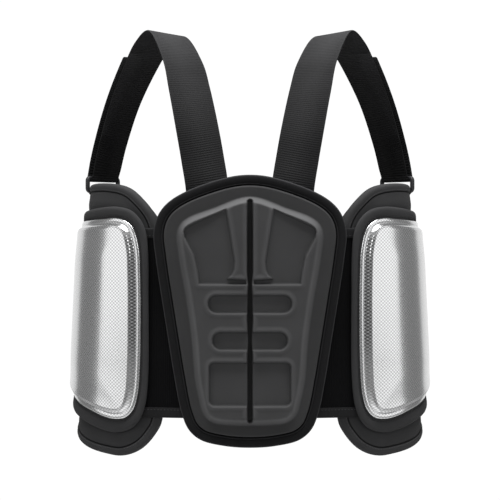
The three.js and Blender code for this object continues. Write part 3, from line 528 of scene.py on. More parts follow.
class Skin:
    """Vertices and faces of one mesh while it is put together, with a flat place for each."""

    def __init__(self):
        self.places, self.flats, self.edges, self.faces = [], [], [], []
        self.count = 0

    def add(self, places, flats, edge):
        """Adds points with their flat places and distances from the edge; gives their numbers."""
        places = np.asarray(places).reshape(-1, 3)
        self.places.append(places)
        self.flats.append(np.asarray(flats).reshape(-1, 2))
        self.edges.append(np.broadcast_to(np.asarray(edge, float).ravel(), len(places)))
        numbers = np.arange(self.count, self.count + len(places))
        self.count += len(places)
        return numbers

    def bridge(self, first, second, closed=True):
        """Joins two rows of points with quads."""
        if closed:
            quads = [first, np.roll(first, -1), np.roll(second, -1), second]
        else:
            quads = [first[:-1], first[1:], second[1:], second[:-1]]
        self.faces.append(np.stack(quads, axis=1))

    def grid(self, numbers, flip=False):
        """Faces of a grid of points."""
        a, b = numbers[:-1, :-1], numbers[:-1, 1:]
        c, d = numbers[1:, 1:], numbers[1:, :-1]
        quads = np.stack([a, b, c, d], axis=-1).reshape(-1, 4)
        self.faces.append(quads[:, ::-1] if flip else quads)

    def cap(self, edge, flat, steps, front, surface):
        """Fills the ring of points called edge; surface gives the inner points' places and
        distances from the edge."""
        across, down = steps
        numbers = np.empty((down + 1, across + 1), int)
        numbers[0] = edge[:across + 1]
        numbers[:, -1] = edge[across:across + down + 1]
        numbers[-1] = edge[across + down:2 * across + down + 1][::-1]
        numbers[1:, 0] = np.append(edge[2 * across + down:], edge[0])[::-1][1:]
        inner = fill_loop(flat, steps)[1:-1, 1:-1]
        places, from_edge = surface(inner[..., 0], inner[..., 1])
        numbers[1:-1, 1:-1] = self.add(places, inner, from_edge).reshape(inner.shape[:2])
        self.grid(numbers, flip=not front)

    def fan(self, edge, middle):
        """Closes the ring of points called edge with a fan round one middle point."""
        first, second, third = edge[0::2], edge[1::2], np.roll(edge, -2)[0::2]
        self.faces.append(np.stack([third, second, first, np.full(len(first), middle)], axis=1))

    def mesh(self, name):
        """The finished mesh, faces outwards, with a UV map in metres and the edge distance."""
        places = np.concatenate(self.places)
        quads = np.concatenate(self.faces)
        a, b, c, d = (places[quads[:, i]] for i in range(4))
        volume = np.einsum("ij,ij->", a, np.cross(b, c)) + np.einsum("ij,ij->", a, np.cross(c, d))
        if volume < 0:
            quads = quads[:, ::-1]
        mesh = bpy.data.meshes.new(name)
        mesh.vertices.add(len(places))
        mesh.vertices.foreach_set("co", places.ravel())
        mesh.loops.add(quads.size)
        mesh.loops.foreach_set("vertex_index", quads.ravel())
        mesh.polygons.add(len(quads))
        mesh.polygons.foreach_set("loop_start", np.arange(0, quads.size, 4))
        mesh.update(calc_edges=True)
        mesh.shade_smooth()
        layer = mesh.uv_layers.new(name="Surface")
        layer.data.foreach_set("uv", np.concatenate(self.flats)[quads.ravel()].ravel())
        store(mesh, "from_edge", np.concatenate(self.edges))
        mesh.validate()
        return mesh


def pad_skin(name, loop, steps, profile, place, crown):
    """A padded piece: a back, rings round its edge by (inset, off) rows, and a crowned front.

    place maps flat places and a distance outwards to space; crown gives the front's extra
    height from flat places and distances inwards from the edge."""
    skin = Skin()
    rings = []
    for distance, off in profile:
        flat = inset(loop, distance)
        lift = off + crown(flat[:, 0], flat[:, 1], distance) * (off >= profile[-1][1] - 1e-9)
        rings.append(skin.add(place(flat[:, 0], flat[:, 1], lift), flat, distance))
    for first, second in zip(rings, rings[1:]):
        skin.bridge(first, second)
    for front in (False, True):
        distance, off = profile[-1] if front else profile[0]
        flat = inset(loop, distance)

        def surface(x, z):
            from_edge = distance + distance_to(flat, x, z)
            return place(x, z, off + (crown(x, z, from_edge) if front else 0)), from_edge

        skin.cap(rings[-1] if front else rings[0], flat, steps, front, surface)
    return skin.mesh(name)


def mirrored(mesh, name):
    """A mirror copy of a mesh, its faces turned outwards again."""
    copy = mesh.copy()
    copy.name = name
    places = places_of(copy)
    places[:, 0] *= -1
    copy.vertices.foreach_set("co", places.ravel())
    copy.flip_normals()
    copy.update()
    return copy


def add_object(name, data):
    """A new object in the scene."""
    made = bpy.data.objects.new(name, data)
    bpy.context.scene.collection.objects.link(made)
    return made


def piece(name, mesh, finish, slot, *nodes):
    """Puts a mesh in the scene with its finish and hides the nodes of the frame that it stands for."""
    made = add_object(name, mesh)
    if finish is not None:
        mesh.materials.clear()
        mesh.materials.append(finish)
    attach(made, "root")
    if nodes:
        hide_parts(*nodes)
    return made


def pair(stem, mesh, finish, slot, node=None):
    """Puts a right-hand mesh and its mirror copy in the scene; gives the two pieces."""
    made = []
    for side, turn in SIDES.items():
        name = f"{stem}_{side}"
        own = mesh if turn > 0 else mirrored(mesh, name)
        nodes = [f"{node}_{side}"] if node else []
        made.append(piece(name, own, finish, slot, *nodes))
    return made


class Wire:
    """A node's output, which takes part in sums."""

    def __init__(self, graph, socket):
        self.graph, self.socket = graph, socket

    def __add__(self, other):
        return self.graph.math("ADD", self, other)

    def __radd__(self, other):
        return self.graph.math("ADD", other, self)

    def __sub__(self, other):
        return self.graph.math("SUBTRACT", self, other)

    def __rsub__(self, other):
        return self.graph.math("SUBTRACT", other, self)

    def __mul__(self, other):
        return self.graph.math("MULTIPLY", self, other)

    def __rmul__(self, other):
        return self.graph.math("MULTIPLY", other, self)


class Graph:
    """A node tree that is written as Python expressions."""

    def __init__(self, tree):
        self.tree = tree

    def feed(self, socket, value):
        """Links or sets one input."""
        if isinstance(value, Wire):
            self.tree.links.new(value.socket, socket)
        else:
            socket.default_value = value

    def node(self, kind, choices=None, inputs=None, output=0):
        """Any node: its settings first, then the values or links of its inputs."""
        made = self.tree.nodes.new(kind)
        for key, value in (choices or {}).items():
            if key == "stops":
                self.set_stops(made.color_ramp.elements, value)
            else:
                setattr(made, key, value)
        for key, value in (inputs or {}).items():
            self.feed(made.inputs[key], value)
        return Wire(self, made.outputs[output])

    @staticmethod
    def set_stops(elements, stops):
        """A ramp's stops, as places and grey values."""
        for place, _ in stops[2:]:
            elements.new(place)
        for element, (place, value) in zip(elements, sorted(stops)):
            element.position = place
            element.color = (value, value, value, 1)

    def math(self, operation, *values):
        """One Math node."""
        inputs = dict(enumerate(values))
        return self.node("ShaderNodeMath", {"operation": operation}, inputs)

    def clamp(self, value):
        """A value kept between 0 and 1."""
        return self.math("MINIMUM", self.math("MAXIMUM", value, 0.0), 1.0)

    def ramp(self, value, start, end):
        """0 before start and 1 after end, smoothly."""
        return self.node("ShaderNodeMapRange", {"interpolation_type": "SMOOTHSTEP"},
                         {"Value": value, "From Min": start, "From Max": end})

    def between(self, value, rise, fall):
        """1 between a soft rise and a soft fall, each given by its start and its end."""
        return self.ramp(value, *rise) * (1 - self.ramp(value, *fall))


class Finish(Graph):
    """One material: a Principled shader and the patterns that feed it."""

    def __init__(self, name):
        self.material = bpy.data.materials.new(name)
        self.material.use_nodes = True
        super().__init__(self.material.node_tree)
        self.shader = self.tree.nodes["Principled BSDF"]

    def surface(self):
        """The piece's own flat coordinates in metres, and each of the two as a number."""
        vector = self.node("ShaderNodeUVMap", {"uv_map": "Surface"})
        u = self.node("ShaderNodeSeparateXYZ", inputs={0: vector}, output="X")
        v = self.node("ShaderNodeSeparateXYZ", inputs={0: vector}, output="Y")
        return vector, u, v

    def place(self):
        """Object coordinates."""
        return self.node("ShaderNodeTexCoord", output="Object")

    def attribute(self, name):
        """A number stored on the mesh."""
        return self.node("ShaderNodeAttribute", {"attribute_name": name}, output="Fac")

    def noise(self, vector, scale, detail=3.0, roughness=0.5):
        """Fractal noise from 0 to 1."""
        return self.node("ShaderNodeTexNoise", inputs={
            "Vector": vector, "Scale": scale, "Detail": detail, "Roughness": roughness})

    def wave(self, value, pitch):
        """A ripple from -1 to 1 with a pitch in metres."""
        return self.math("SINE", value * (2 * math.pi / pitch))

    def stretched(self, vector, scale):
        """Coordinates drawn out along one way."""
        return self.node("ShaderNodeMapping", inputs={"Vector": vector, "Scale": scale})

    def tint(self, base, factor):
        """A colour made lighter or darker by a number."""
        grey = self.node("ShaderNodeCombineXYZ", inputs={0: factor, 1: factor, 2: factor})
        return self.node("ShaderNodeVectorMath", {"operation": "MULTIPLY"}, {0: grey, 1: base})

    def bump(self, height, depth):
        """A bump whose height of 1 stands for a depth in metres."""
        return self.node("ShaderNodeBump", inputs={
            "Height": height, "Distance": depth, "Strength": 1.0})

    def finish(self, **inputs):
        """Feeds the shader; underscores stand for spaces."""
        for key, value in inputs.items():
            self.feed(self.shader.inputs[key.replace("_", " ").title().replace("Ior", "IOR")], value)
        return self.material


MADE = {}


def shared(make):
    """The finish that a function makes, made only once."""
    if make not in MADE:
        MADE[make] = make()
    return MADE[make]


def knit(name, colour, wale, depth, shine=0.12, seam=0.0, edge=0.0):
    """A laminated knit: tiny staggered loops over foam, matte, with a faint mottle, a painted highlight line
    and painted groove shade at the seam, and a painted highlight along the outer edge.
    """
    made = Finish(name)
    vector, u, v = made.surface()
    columns = made.wave(u, wale)
    courses = made.wave(v + made.wave(u, 2 * wale) * (wale * 0.25), wale * 1.25)
    loops = columns * columns * 0.5 + courses * courses * 0.5
    grit = made.noise(vector, 2600.0, 2.0)
    mottle = made.noise(made.place(), 38.0, 4.0)
    height = loops * 0.6 + grit * 0.5
    factor = 0.72 + mottle * 0.4 + loops * 0.16
    from_edge = made.attribute("from_edge")
    # Painted highlight line and painted groove shade along the seam
    line = made.between(from_edge - seam, *SEAM_HIGHLIGHT)
    groove = made.between(from_edge - seam, *SEAM_GROOVE_SHADE)
    factor = factor * (1 + line * 0.7) * (1 - groove * 0.75)
    # edge sets how strong the painted highlight along the outer edge is
    factor = factor * (1 + (1 - made.ramp(from_edge, *EDGE_HIGHLIGHT)) * edge)
    return made.finish(
        base_color=made.tint(colour, factor),
        roughness=made.clamp(0.8 + mottle * 0.22 - loops * 0.08),
        normal=made.bump(height, depth),
        specular_ior_level=shine)


def pad_finish():
    """Laminated knit of the soft pads."""
    colour, seam = tuple(settings().finish.pad), settings().side_pad.rim
    return knit("laminated_knit", colour, 0.0012, 0.00016, seam=seam)


def frame_finish():
    """The same knit round the shells, where no seam shows."""
    return knit("framing_knit", tuple(settings().finish.pad), 0.0012, 0.00016, seam=1.0)


def rim_finish():
    """Smoother knit of the chest pad's bound rim, with a strong painted highlight along its outer edge."""
    colour, seam = tuple(settings().finish.binding), settings().chest.rim - 0.0001
    return knit("bound_rim", colour, 0.0011, 0.00012, shine=0.06, seam=seam, edge=2.2)


def moulding_finish():
    """Cover pressed over dense foam: a fine knit that is smoother where it is drawn over an edge, with a
    painted highlight on the panel's bevel and the recesses' lips, and painted shade in the recesses, their
    creases and the slot.
    """
    made = Finish("pressed_cover")
    vector, u, v = made.surface()
    wale = 0.0013
    columns = made.wave(u + v, wale)
    courses = made.wave(u - v, wale)
    cells = made.clamp(columns * courses * 0.5 + 0.5)
    grit = made.noise(vector, 2300.0, 3.0)
    mottle = made.noise(made.place(), 30.0, 4.0)
    sunk = made.attribute("sunk")
    drawn = made.attribute("drawn")
    flat = 1 - drawn
    panel = made.attribute("panel")
    # Painted shade darkens the recesses, their creases and the slot; a painted highlight lightens the bevel
    # and the lips
    factor = (0.66 + mottle * 0.4 + cells * 0.2 * flat) * (1 - sunk * 0.62) * (1 + drawn * 1.1)
    factor = factor * (0.68 + panel * 0.31)
    height = (cells * 0.5 + grit * 0.6) * (0.35 + flat * 0.65)
    return made.finish(
        base_color=made.tint(tuple(settings().finish.moulding), factor),
        roughness=made.clamp(0.86 - drawn * 0.14 + mottle * 0.1),
        normal=made.bump(height, 0.00016),
        specular_ior_level=0.3)


def belt_finish():
    """Elastic loop fabric with an upright grain."""
    made = Finish("belt_elastic")
    vector, u, v = made.surface()
    grain = made.noise(made.stretched(vector, (1.0, 0.12, 1.0)), 900.0, 4.0, 0.65)
    cords = made.wave(u, 0.0021)
    picks = made.wave(v, 0.0011)
    mottle = made.noise(made.place(), 22.0, 3.0)
    height = cords * 0.35 + picks * 0.12 + grain * 0.9
    return made.finish(
        base_color=made.tint(tuple(settings().finish.belt), 0.55 + mottle * 0.5 + grain * 0.5),
        roughness=made.clamp(0.82 + grain * 0.15),
        normal=made.bump(height, 0.00028),
        specular_ior_level=0.05)


def tape_finish():
    """Folded binding tape: fine ribs square to its length."""
    made = Finish("binding_tape")
    colour = tuple(settings().finish.binding)
    vector, u, _ = made.surface()
    ribs = made.wave(u, 0.0014)
    grit = made.noise(vector, 1900.0, 2.0)
    mottle = made.noise(made.place(), 45.0, 3.0)
    return made.finish(
        base_color=made.tint(colour, 0.95 + mottle * 0.4 + ribs * 0.12),
        roughness=made.clamp(0.74 + grit * 0.2),
        normal=made.bump(ribs * 0.5 + grit * 0.6, 0.00018),
        specular_ior_level=0.12)


def webbing_finish():
    """Ribbed webbing: fine warp threads over the cross ribs, with painted light that makes it brighter
    towards the top of the shoulder and painted shade on the side towards the body.
    """
    made = Finish("ribbed_webbing")
    vector, u, v = made.surface()
    warp = made.wave(u, 0.0009)
    twill = made.wave(u + v * 0.5, 0.0018)
    grit = made.noise(vector, 2100.0, 2.0)
    mottle = made.noise(made.place(), 32.0, 3.0)
    height = warp * 0.45 + twill * 0.25 + grit * 0.5
    high = made.node("ShaderNodeSeparateXYZ", inputs={0: made.place()}, output="Z")
    # Painted light, not wear: the colour is darkest low down and brightens towards the top of the shoulder,
    # as if lit from above
    worn = 0.38 + made.ramp(high, -0.12, -0.03) * 0.27 + made.ramp(high, -0.045, 0.0) * 0.65
    # The side towards the body also gets painted shade
    factor = (0.7 + mottle * 0.45 + warp * 0.12) * worn * (1 - made.attribute("inner") * 0.45)
    return made.finish(
        base_color=made.tint(tuple(settings().finish.webbing), factor),
        roughness=made.clamp(0.6 + grit * 0.2 + mottle * 0.1),
        normal=made.bump(height, 0.00016),
        specular_ior_level=0.08)


def plastic_finish():
    """Moulded plastic with a faint grain and rubbed corners."""
    made = Finish("ring_plastic")
    grain = made.noise(made.place(), 1500.0, 3.0)
    rub = made.noise(made.place(), 90.0, 4.0)
    return made.finish(
        base_color=made.tint(tuple(settings().finish.ring), 0.8 + rub * 0.5),
        roughness=made.clamp(0.34 + rub * 0.2 + grain * 0.08),
        normal=made.bump(grain, 0.00005),
        specular_ior_level=0.35)


def shell_finish():
    """Silvery diagonal weave under a clear coat, with a coarser dotted look on the slope."""
    made = Finish("silver_weave")
    _, u, v = made.surface()
    pitch = settings().shell.weave * math.sqrt(2)
    cells = made.wave(u, pitch) * made.wave(v, pitch)
    over = made.clamp(cells * 0.5 + 0.5)
    slope = made.attribute("slope")
    dots = made.ramp(cells, -0.2, 0.6)
    haze = made.noise(made.place(), 16.0, 3.0)
    dark = made.clamp(slope * (1 - dots * 0.75))
    factor = (0.62 + over * 0.5) * (1 - dark * 0.9)
    return made.finish(
        base_color=made.tint(tuple(settings().finish.shell), factor),
        metallic=made.clamp(0.95 - dark * 0.75),
        roughness=made.clamp(0.15 + haze * 0.06 + (1 - over) * 0.08),
        normal=made.bump(over, 0.00005),
        coat_weight=1.0, coat_roughness=0.06, coat_ior=1.5)


def thread_finish():
    """Dark polyester thread."""
    made = Finish("sewing_thread")
    twist = made.noise(made.place(), 2500.0, 2.0)
    return made.finish(
        base_color=made.tint(tuple(settings().finish.thread), 0.7 + twist * 0.6),
        roughness=made.clamp(0.5 + twist * 0.2),
        normal=made.bump(twist, 0.00008),
        specular_ior_level=0.3)


def put_along(name, path, shape_nodes, values, finish):
    """Bakes a Geometry Nodes tree that repeats a small shape along a path.

    path has points, their ways across and out of the surface, and whether it is closed;
    shape_nodes adds the shape to the tree; values are the tree's named sizes."""
    points, across, outwards, closed = path
    mesh = bpy.data.meshes.new(name + "_path")
    count = len(points)
    edges = [(i, (i + 1) % count) for i in range(count if closed else count - 1)]
    mesh.from_pydata([tuple(p) for p in points], edges, [])
    for key, ways in (("across", across), ("outwards", outwards)):
        data = mesh.attributes.new(key, "FLOAT_VECTOR", "POINT").data
        data.foreach_set("vector", np.asarray(ways, np.float32).ravel())
    made = add_object(name, mesh)
    tree = bpy.data.node_groups.new(name + "_rule", "GeometryNodeTree")
    face = tree.interface
    face.new_socket("Geometry", in_out="INPUT", socket_type="NodeSocketGeometry")
    names = {}
    for key, value in values.items():
        kind = "NodeSocketInt" if isinstance(value, int) else "NodeSocketFloat"
        names[key] = face.new_socket(key, in_out="INPUT", socket_type=kind).identifier
    names["Finish"] = face.new_socket(
        "Finish", in_out="INPUT", socket_type="NodeSocketMaterial").identifier
    face.new_socket("Geometry", in_out="OUTPUT", socket_type="NodeSocketGeometry")
    graph = Graph(tree)
    entry = tree.nodes.new("NodeGroupInput")
    given = {socket.name: Wire(graph, socket) for socket in entry.outputs if socket.name}
    curve = graph.node("GeometryNodeMeshToCurve", inputs={"Mesh": given["Geometry"]})
    even = graph.node("GeometryNodeResampleCurve", {"mode": "LENGTH"},
                      {"Curve": curve, "Length": given["Pitch"]})
    ways = {key: graph.node("GeometryNodeInputNamedAttribute", {"data_type": "FLOAT_VECTOR"},
                            {"Name": key}) for key in ("across", "outwards")}
    turn = graph.node("FunctionNodeAxesToRotation", {"primary_axis": "Z", "secondary_axis": "Y"},
                      {"Primary Axis": ways["outwards"], "Secondary Axis": ways["across"]})
    tilt = graph.node("FunctionNodeRandomValue", {"data_type": "FLOAT"},
                      {"Min": -0.05, "Max": 0.05, "Seed": given["Seed"]}, output="Value")
    wobble = graph.node("FunctionNodeEulerToRotation", inputs={
        "Euler": graph.node("ShaderNodeCombineXYZ", inputs={"Z": tilt * given["Tilt"]})})
    turned = graph.node("FunctionNodeRotateRotation", {"rotation_space": "LOCAL"},
                        {"Rotation": turn, "Rotate By": wobble})
    placed = graph.node("GeometryNodeInstanceOnPoints", inputs={
        "Points": even, "Instance": shape_nodes(graph, given), "Rotation": turned})
    real = graph.node("GeometryNodeRealizeInstances", inputs={"Geometry": placed})
    smooth = graph.node("GeometryNodeSetShadeSmooth", inputs={"Geometry": real})
    dressed = graph.node("GeometryNodeSetMaterial", inputs={
        "Geometry": smooth, "Material": given["Finish"]})
    leave = tree.nodes.new("NodeGroupOutput")
    graph.feed(leave.inputs["Geometry"], dressed)
    modifier = made.modifiers.new("rule", "NODES")
    modifier.node_group = tree
    for key, value in values.items():
        modifier[names[key]] = value
    modifier[names["Finish"]] = finish
    baked = bpy.data.meshes.new_from_object(
        made.evaluated_get(bpy.context.evaluated_depsgraph_get()))
    made.modifiers.clear()
    bpy.data.objects.remove(made)
    baked.name = name
    baked.update()
    return baked


def stitch_shape(graph, given):
    """One stitch: a small drop of thread, long along the seam."""
    ball = graph.node("GeometryNodeMeshUVSphere", inputs={"Segments": 6, "Rings": 4, "Radius": 0.5})
    size = graph.node("ShaderNodeCombineXYZ", inputs={
        "X": given["Reach"], "Y": given["Thread"], "Z": given["Thread"]})
    return graph.node("GeometryNodeTransform", inputs={"Geometry": ball, "Scale": size})


def seam_path(flat, place, off):
    """The closed path of a seam from its flat places, with its ways across and out of the face."""
    points = place(flat[:, 0], flat[:, 1], off)
    along = np.roll(points, -1, axis=0) - np.roll(points, 1, axis=0)
    outwards = unit(place(flat[:, 0], flat[:, 1], off + 0.001) - points)
    return points, unit(np.cross(outwards, along)), outwards, True


def stitches(name, path, finish):
    """A row of stitches as one mesh."""
    size = settings().stitch
    values = {"Pitch": size.pitch, "Reach": size.reach, "Thread": size.thread,
              "Seed": size.seed, "Tilt": 1.0}
    return put_along(name, path, stitch_shape, values, finish)


class PieceOperator:
    """What the operators share."""

    bl_options = {"REGISTER", "UNDO"}


class PROTECTOR_OT_side_pads(PieceOperator, bpy.types.Operator):
    """Build the soft pads next to the body"""

    bl_idname = "protector.side_pads"
    bl_label = "Side Pads"

    STEPS = (70, 60)
    SEAM_INSET = 0.0062

    def execute(self, context):
        layers, size = Layers(), settings().side_pad
        finish, thread = shared(pad_finish), shared(thread_finish)

        def place(girth, z, off):
            return on_body(girth, z, off + flare(np.asarray(z)))

        def crown(girth, z, from_edge):
            beyond = np.maximum(z - layers.belt_top, layers.belt_bottom - z)
            free = ease(beyond, 0.0, 0.012)
            field = ease(from_edge, size.rim, size.rim + 0.014)
            return size.puff * free * field

        loop = flank_loop(SIDE_PAD_OUTLINE, SIDE_PAD_CORNERS, size, self.STEPS)
        top = size.thickness
        profile = ((0.0022, 0.0), (0.0007, 0.0005), (0.0, 0.0020), (0.0, top - 0.0036),
                   (0.0004, top - 0.0022), (0.0013, top - 0.0010), (0.0028, top - 0.0002),
                   (0.0048, top), (0.0068, top), (0.0075, top - 0.0002), (0.0079, top - 0.0010),
                   (0.0082, top - 0.0012), (0.0086, top - 0.0004), (0.0092, top - 0.0001),
                   (0.0112, top))
        right = pad_skin("side_pad_cover_right", loop, self.STEPS, profile, place, crown)
        seam = seam_path(inset(loop, self.SEAM_INSET), place, top + 0.0001)
        row = stitches("side_pad_stitches_right", seam, thread)
        for cover in pair("side_pad_cover", right, finish, "pad_fabric", "side_pad"):
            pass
        pair("side_pad_stitches", row, None, "binding_fabric")
        return {"FINISHED"}


def girths_round(z, count):
    """Even girths all round the body at a height, starting at the back."""
    body = settings().body
    _, _, bend = body_oval(np.float64(z))
    half = 2 * body.front_radius * bend + body.flank_radius * (math.pi - 2 * bend)
    return np.linspace(-1, 1, count, endpoint=False) * half


def band_skin(name, section, count, ripple=None):
    """A closed band round the body from a section of (off, z) rows."""
    skin = Skin()
    rows = []
    for step, (off, z) in enumerate(section):
        girth = girths_round(z, count)
        lift = off + (ripple(girth, z) if ripple else 0)
        flat = np.stack([girth, np.full(count, float(z))], axis=1)
        rows.append(skin.add(on_body(girth, z, lift), flat, step))
    for first, second in zip(rows, rows[1:] + rows[:1]):
        skin.bridge(first, second)
    return skin.mesh(name)


class PROTECTOR_OT_belt(PieceOperator, bpy.types.Operator):
    """Build the belt and the tapes folded over its edges"""

    bl_idname = "protector.belt"
    bl_label = "Belt"

    STEPS = 420
    ROWS = 48
    STITCH_MARGIN = 0.0022

    def execute(self, context):
        layers, size = Layers(), settings().belt
        clear = size.tape + size.tape_gap
        low, high = layers.belt_bottom + clear, layers.belt_top - clear
        heights = np.linspace(low, high, self.ROWS)

        def ripple(girth, z):
            inside = ease(np.minimum(z - low, high - z), 0.009, 0.03)
            waves = np.sin(girth * 31 + 2 * np.sin(z * 40)) + 0.6 * np.sin(girth * 57 - z * 60 + 1)
            return 0.00028 * inside * waves

        section = [(layers.belt_in, z) for z in heights[::-1]]
        section += [(layers.belt_out, z) for z in heights]
        belt = piece("belt_band", band_skin("belt_band", section, self.STEPS, ripple),
                     belt_finish(), "belt_fabric", "belt")
        self.girth(layers)
        tape, thread = shared(tape_finish), shared(thread_finish)
        for edge, z, way in (("top", layers.belt_top, -1), ("bottom", layers.belt_bottom, 1)):
            mesh = band_skin(f"belt_tape_{edge}", self.fold(layers, z, way), self.STEPS)
            piece(f"belt_tape_{edge}", mesh, tape, "binding_fabric", f"belt_binding_{edge}")
            at = z + way * (size.binding - self.STITCH_MARGIN)
            flat = np.stack([girths_round(at, self.STEPS), np.full(self.STEPS, at)], axis=1)
            row = stitches(f"belt_stitches_{edge}", seam_path(flat, on_body, layers.binding_out), thread)
            piece(f"belt_stitches_{edge}", row, None, "binding_fabric")
        return {"FINISHED"}

    def girth(self, layers):
        """The belt's length round the body."""
        middle = (layers.belt_top + layers.belt_bottom) / 2
        off = (layers.belt_in + layers.belt_out) / 2
        points = on_body(girths_round(middle, self.STEPS), middle, off)
        return float(np.sum(np.linalg.norm(points - np.roll(points, 1, axis=0), axis=1)))

    def fold(self, layers, edge, way):
        """The section of the tape folded over an edge."""
        size = settings().belt
        tape = size.tape
        inner, outer = layers.binding_in, layers.binding_out
        mouth = edge + way * size.binding
        middle, reach = (inner + outer) / 2, (outer - inner) / 2
        turn = np.linspace(-math.pi / 2, math.pi / 2, 9)
        over = [(middle + reach * math.sin(a), edge + way * (reach - reach * math.cos(a)))
                for a in turn]
        inside = reach - tape
        under = [(middle + inside * math.sin(a), edge + way * (reach - inside * math.cos(a)))
                 for a in turn[::-1]]
        steps = np.linspace(0.25, 0.92, 4)
        straight = [edge + way * (reach + s * (size.binding - reach)) for s in steps]
        return ([(inner, mouth)] + [(inner, z) for z in straight[::-1]] + over
                + [(outer, z) for z in straight] + [(outer - tape * 0.4, mouth)]
                + [(outer - tape, mouth - way * tape)] + under
                + [(inner + tape, mouth - way * tape)])


class PROTECTOR_OT_shells(PieceOperator, bpy.types.Operator):
    """Build the padded layer that frames each shell, and the hard shells"""

    bl_idname = "protector.shells"
    bl_label = "Side Shells"

    STEPS = (80, 90)

    def pad(self, layers, thread):
        """The framing pad: a rim round the shell, filled up under its dome."""
        size, shell = settings().shell_pad, settings().shell
        loop = flank_loop(SHELL_PAD_OUTLINE, SHELL_PAD_CORNERS, size, self.STEPS)
        inner = flank_loop(SHELL_OUTLINE, SHELL_CORNERS, shell, self.STEPS)
        low, top = layers.shell_pad_in, layers.shell_pad_out
        foot = shell.flange + shell.wall
        skin = Skin()
        rows = [(inset(loop, d), off) for d, off in (
            (0.0016, low), (0.0004, low + 0.0005), (0.0, low + 0.0014), (0.0002, top - 0.0010),
            (0.0010, top - 0.0001), (0.0022, top + size.puff * 0.7), (0.0036, top + size.puff))]
        for share, off in ((0.55, top + size.puff * 0.9), (0.75, top + size.puff * 0.2),
                           (0.88, top - 0.0005), (1.0, top - 0.0001)):
            rows.append(((1 - share) * inset(loop, 0.0036) + share * inset(inner, -0.0006), off))
        rows += [(inset(inner, foot + layers.DOME_GAP), top),
                 (inset(inner, foot + shell.bevel + layers.DOME_GAP), layers.dome_in - layers.DOME_GAP)]
        rings = [skin.add(on_body(flat[:, 0], flat[:, 1], off), flat, i)
                 for i, (flat, off) in enumerate(rows)]
        for first, second in zip(rings, rings[1:]):
            skin.bridge(first, second)
        for front in (False, True):
            flat, off = rows[-1] if front else rows[0]
            skin.cap(rings[-1] if front else rings[0], flat, self.STEPS, front,
                     lambda x, z: (on_body(x, z, off), 0))
        mesh = skin.mesh("shell_pad_cover_right")
        seam = seam_path(0.30 * inset(loop, 0.0036) + 0.70 * inner, on_body, top + size.puff * 0.5)
        return mesh, stitches("shell_pad_stitches_right", seam, thread)

    def shell(self, layers):
        """The hard shell: flange, crease, slope, crease and dome."""
        size = settings().shell
        loop = flank_loop(SHELL_OUTLINE, SHELL_CORNERS, size, self.STEPS)
        flange, bevel = size.flange, size.bevel
        low, rim, top = layers.flange_in, layers.flange_out, layers.dome_out
        foot = flange + size.wall * 0.65
        profile = ((foot + bevel, layers.dome_in), (foot, low), (0.0004, low), (0.0, low + 0.0004),
                   (0.0, rim - 0.0005), (0.0005, rim), (flange - 0.0008, rim),
                   (flange - 0.0003, rim - 0.0004), (flange + 0.0001, rim - 0.0003),
                   (flange + 0.0005, rim + 0.0003), (flange + bevel * 0.5, rim + (top - rim) * 0.52),
                   (flange + bevel - 0.0006, top - 0.0005), (flange + bevel - 0.0001, top - 0.0006),
                   (flange + bevel + 0.0004, top - 0.0003), (flange + bevel + 0.0010, top))

        def crown(girth, z, from_edge):
            return 0.0012 * ease(from_edge, flange + bevel, flange + bevel + 0.03)

        mesh = pad_skin("side_shell_weave_right", loop, self.STEPS, profile, on_body, crown)
        edge = np.empty(len(mesh.vertices), np.float32)
        mesh.attributes["from_edge"].data.foreach_get("value", edge)
        dome = flange + bevel
        slope = between(edge, (flange - 0.0006, flange + 0.0002), (dome + 0.0004, dome + 0.0020))
        down = -size.drop - places_of(mesh)[:, 2]
        faded = ease(down, 0.010, 0.022) * (1 - 0.85 * ease(down, 0.11, 0.18))
        store(mesh, "slope", slope * faded)
        return mesh

    def execute(self, context):
        layers = Layers()
        cover, thread = shared(frame_finish), shared(thread_finish)
        pad, row = self.pad(layers, thread)
        shell = self.shell(layers)
        for made in pair("shell_pad_cover", pad, cover, "pad_fabric", "shell_pad"):
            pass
        pair("shell_pad_stitches", row, None, "binding_fabric")
        pair("side_shell_weave", shell, shell_finish(), "silver_weave", "side_shell")
        return {"FINISHED"}


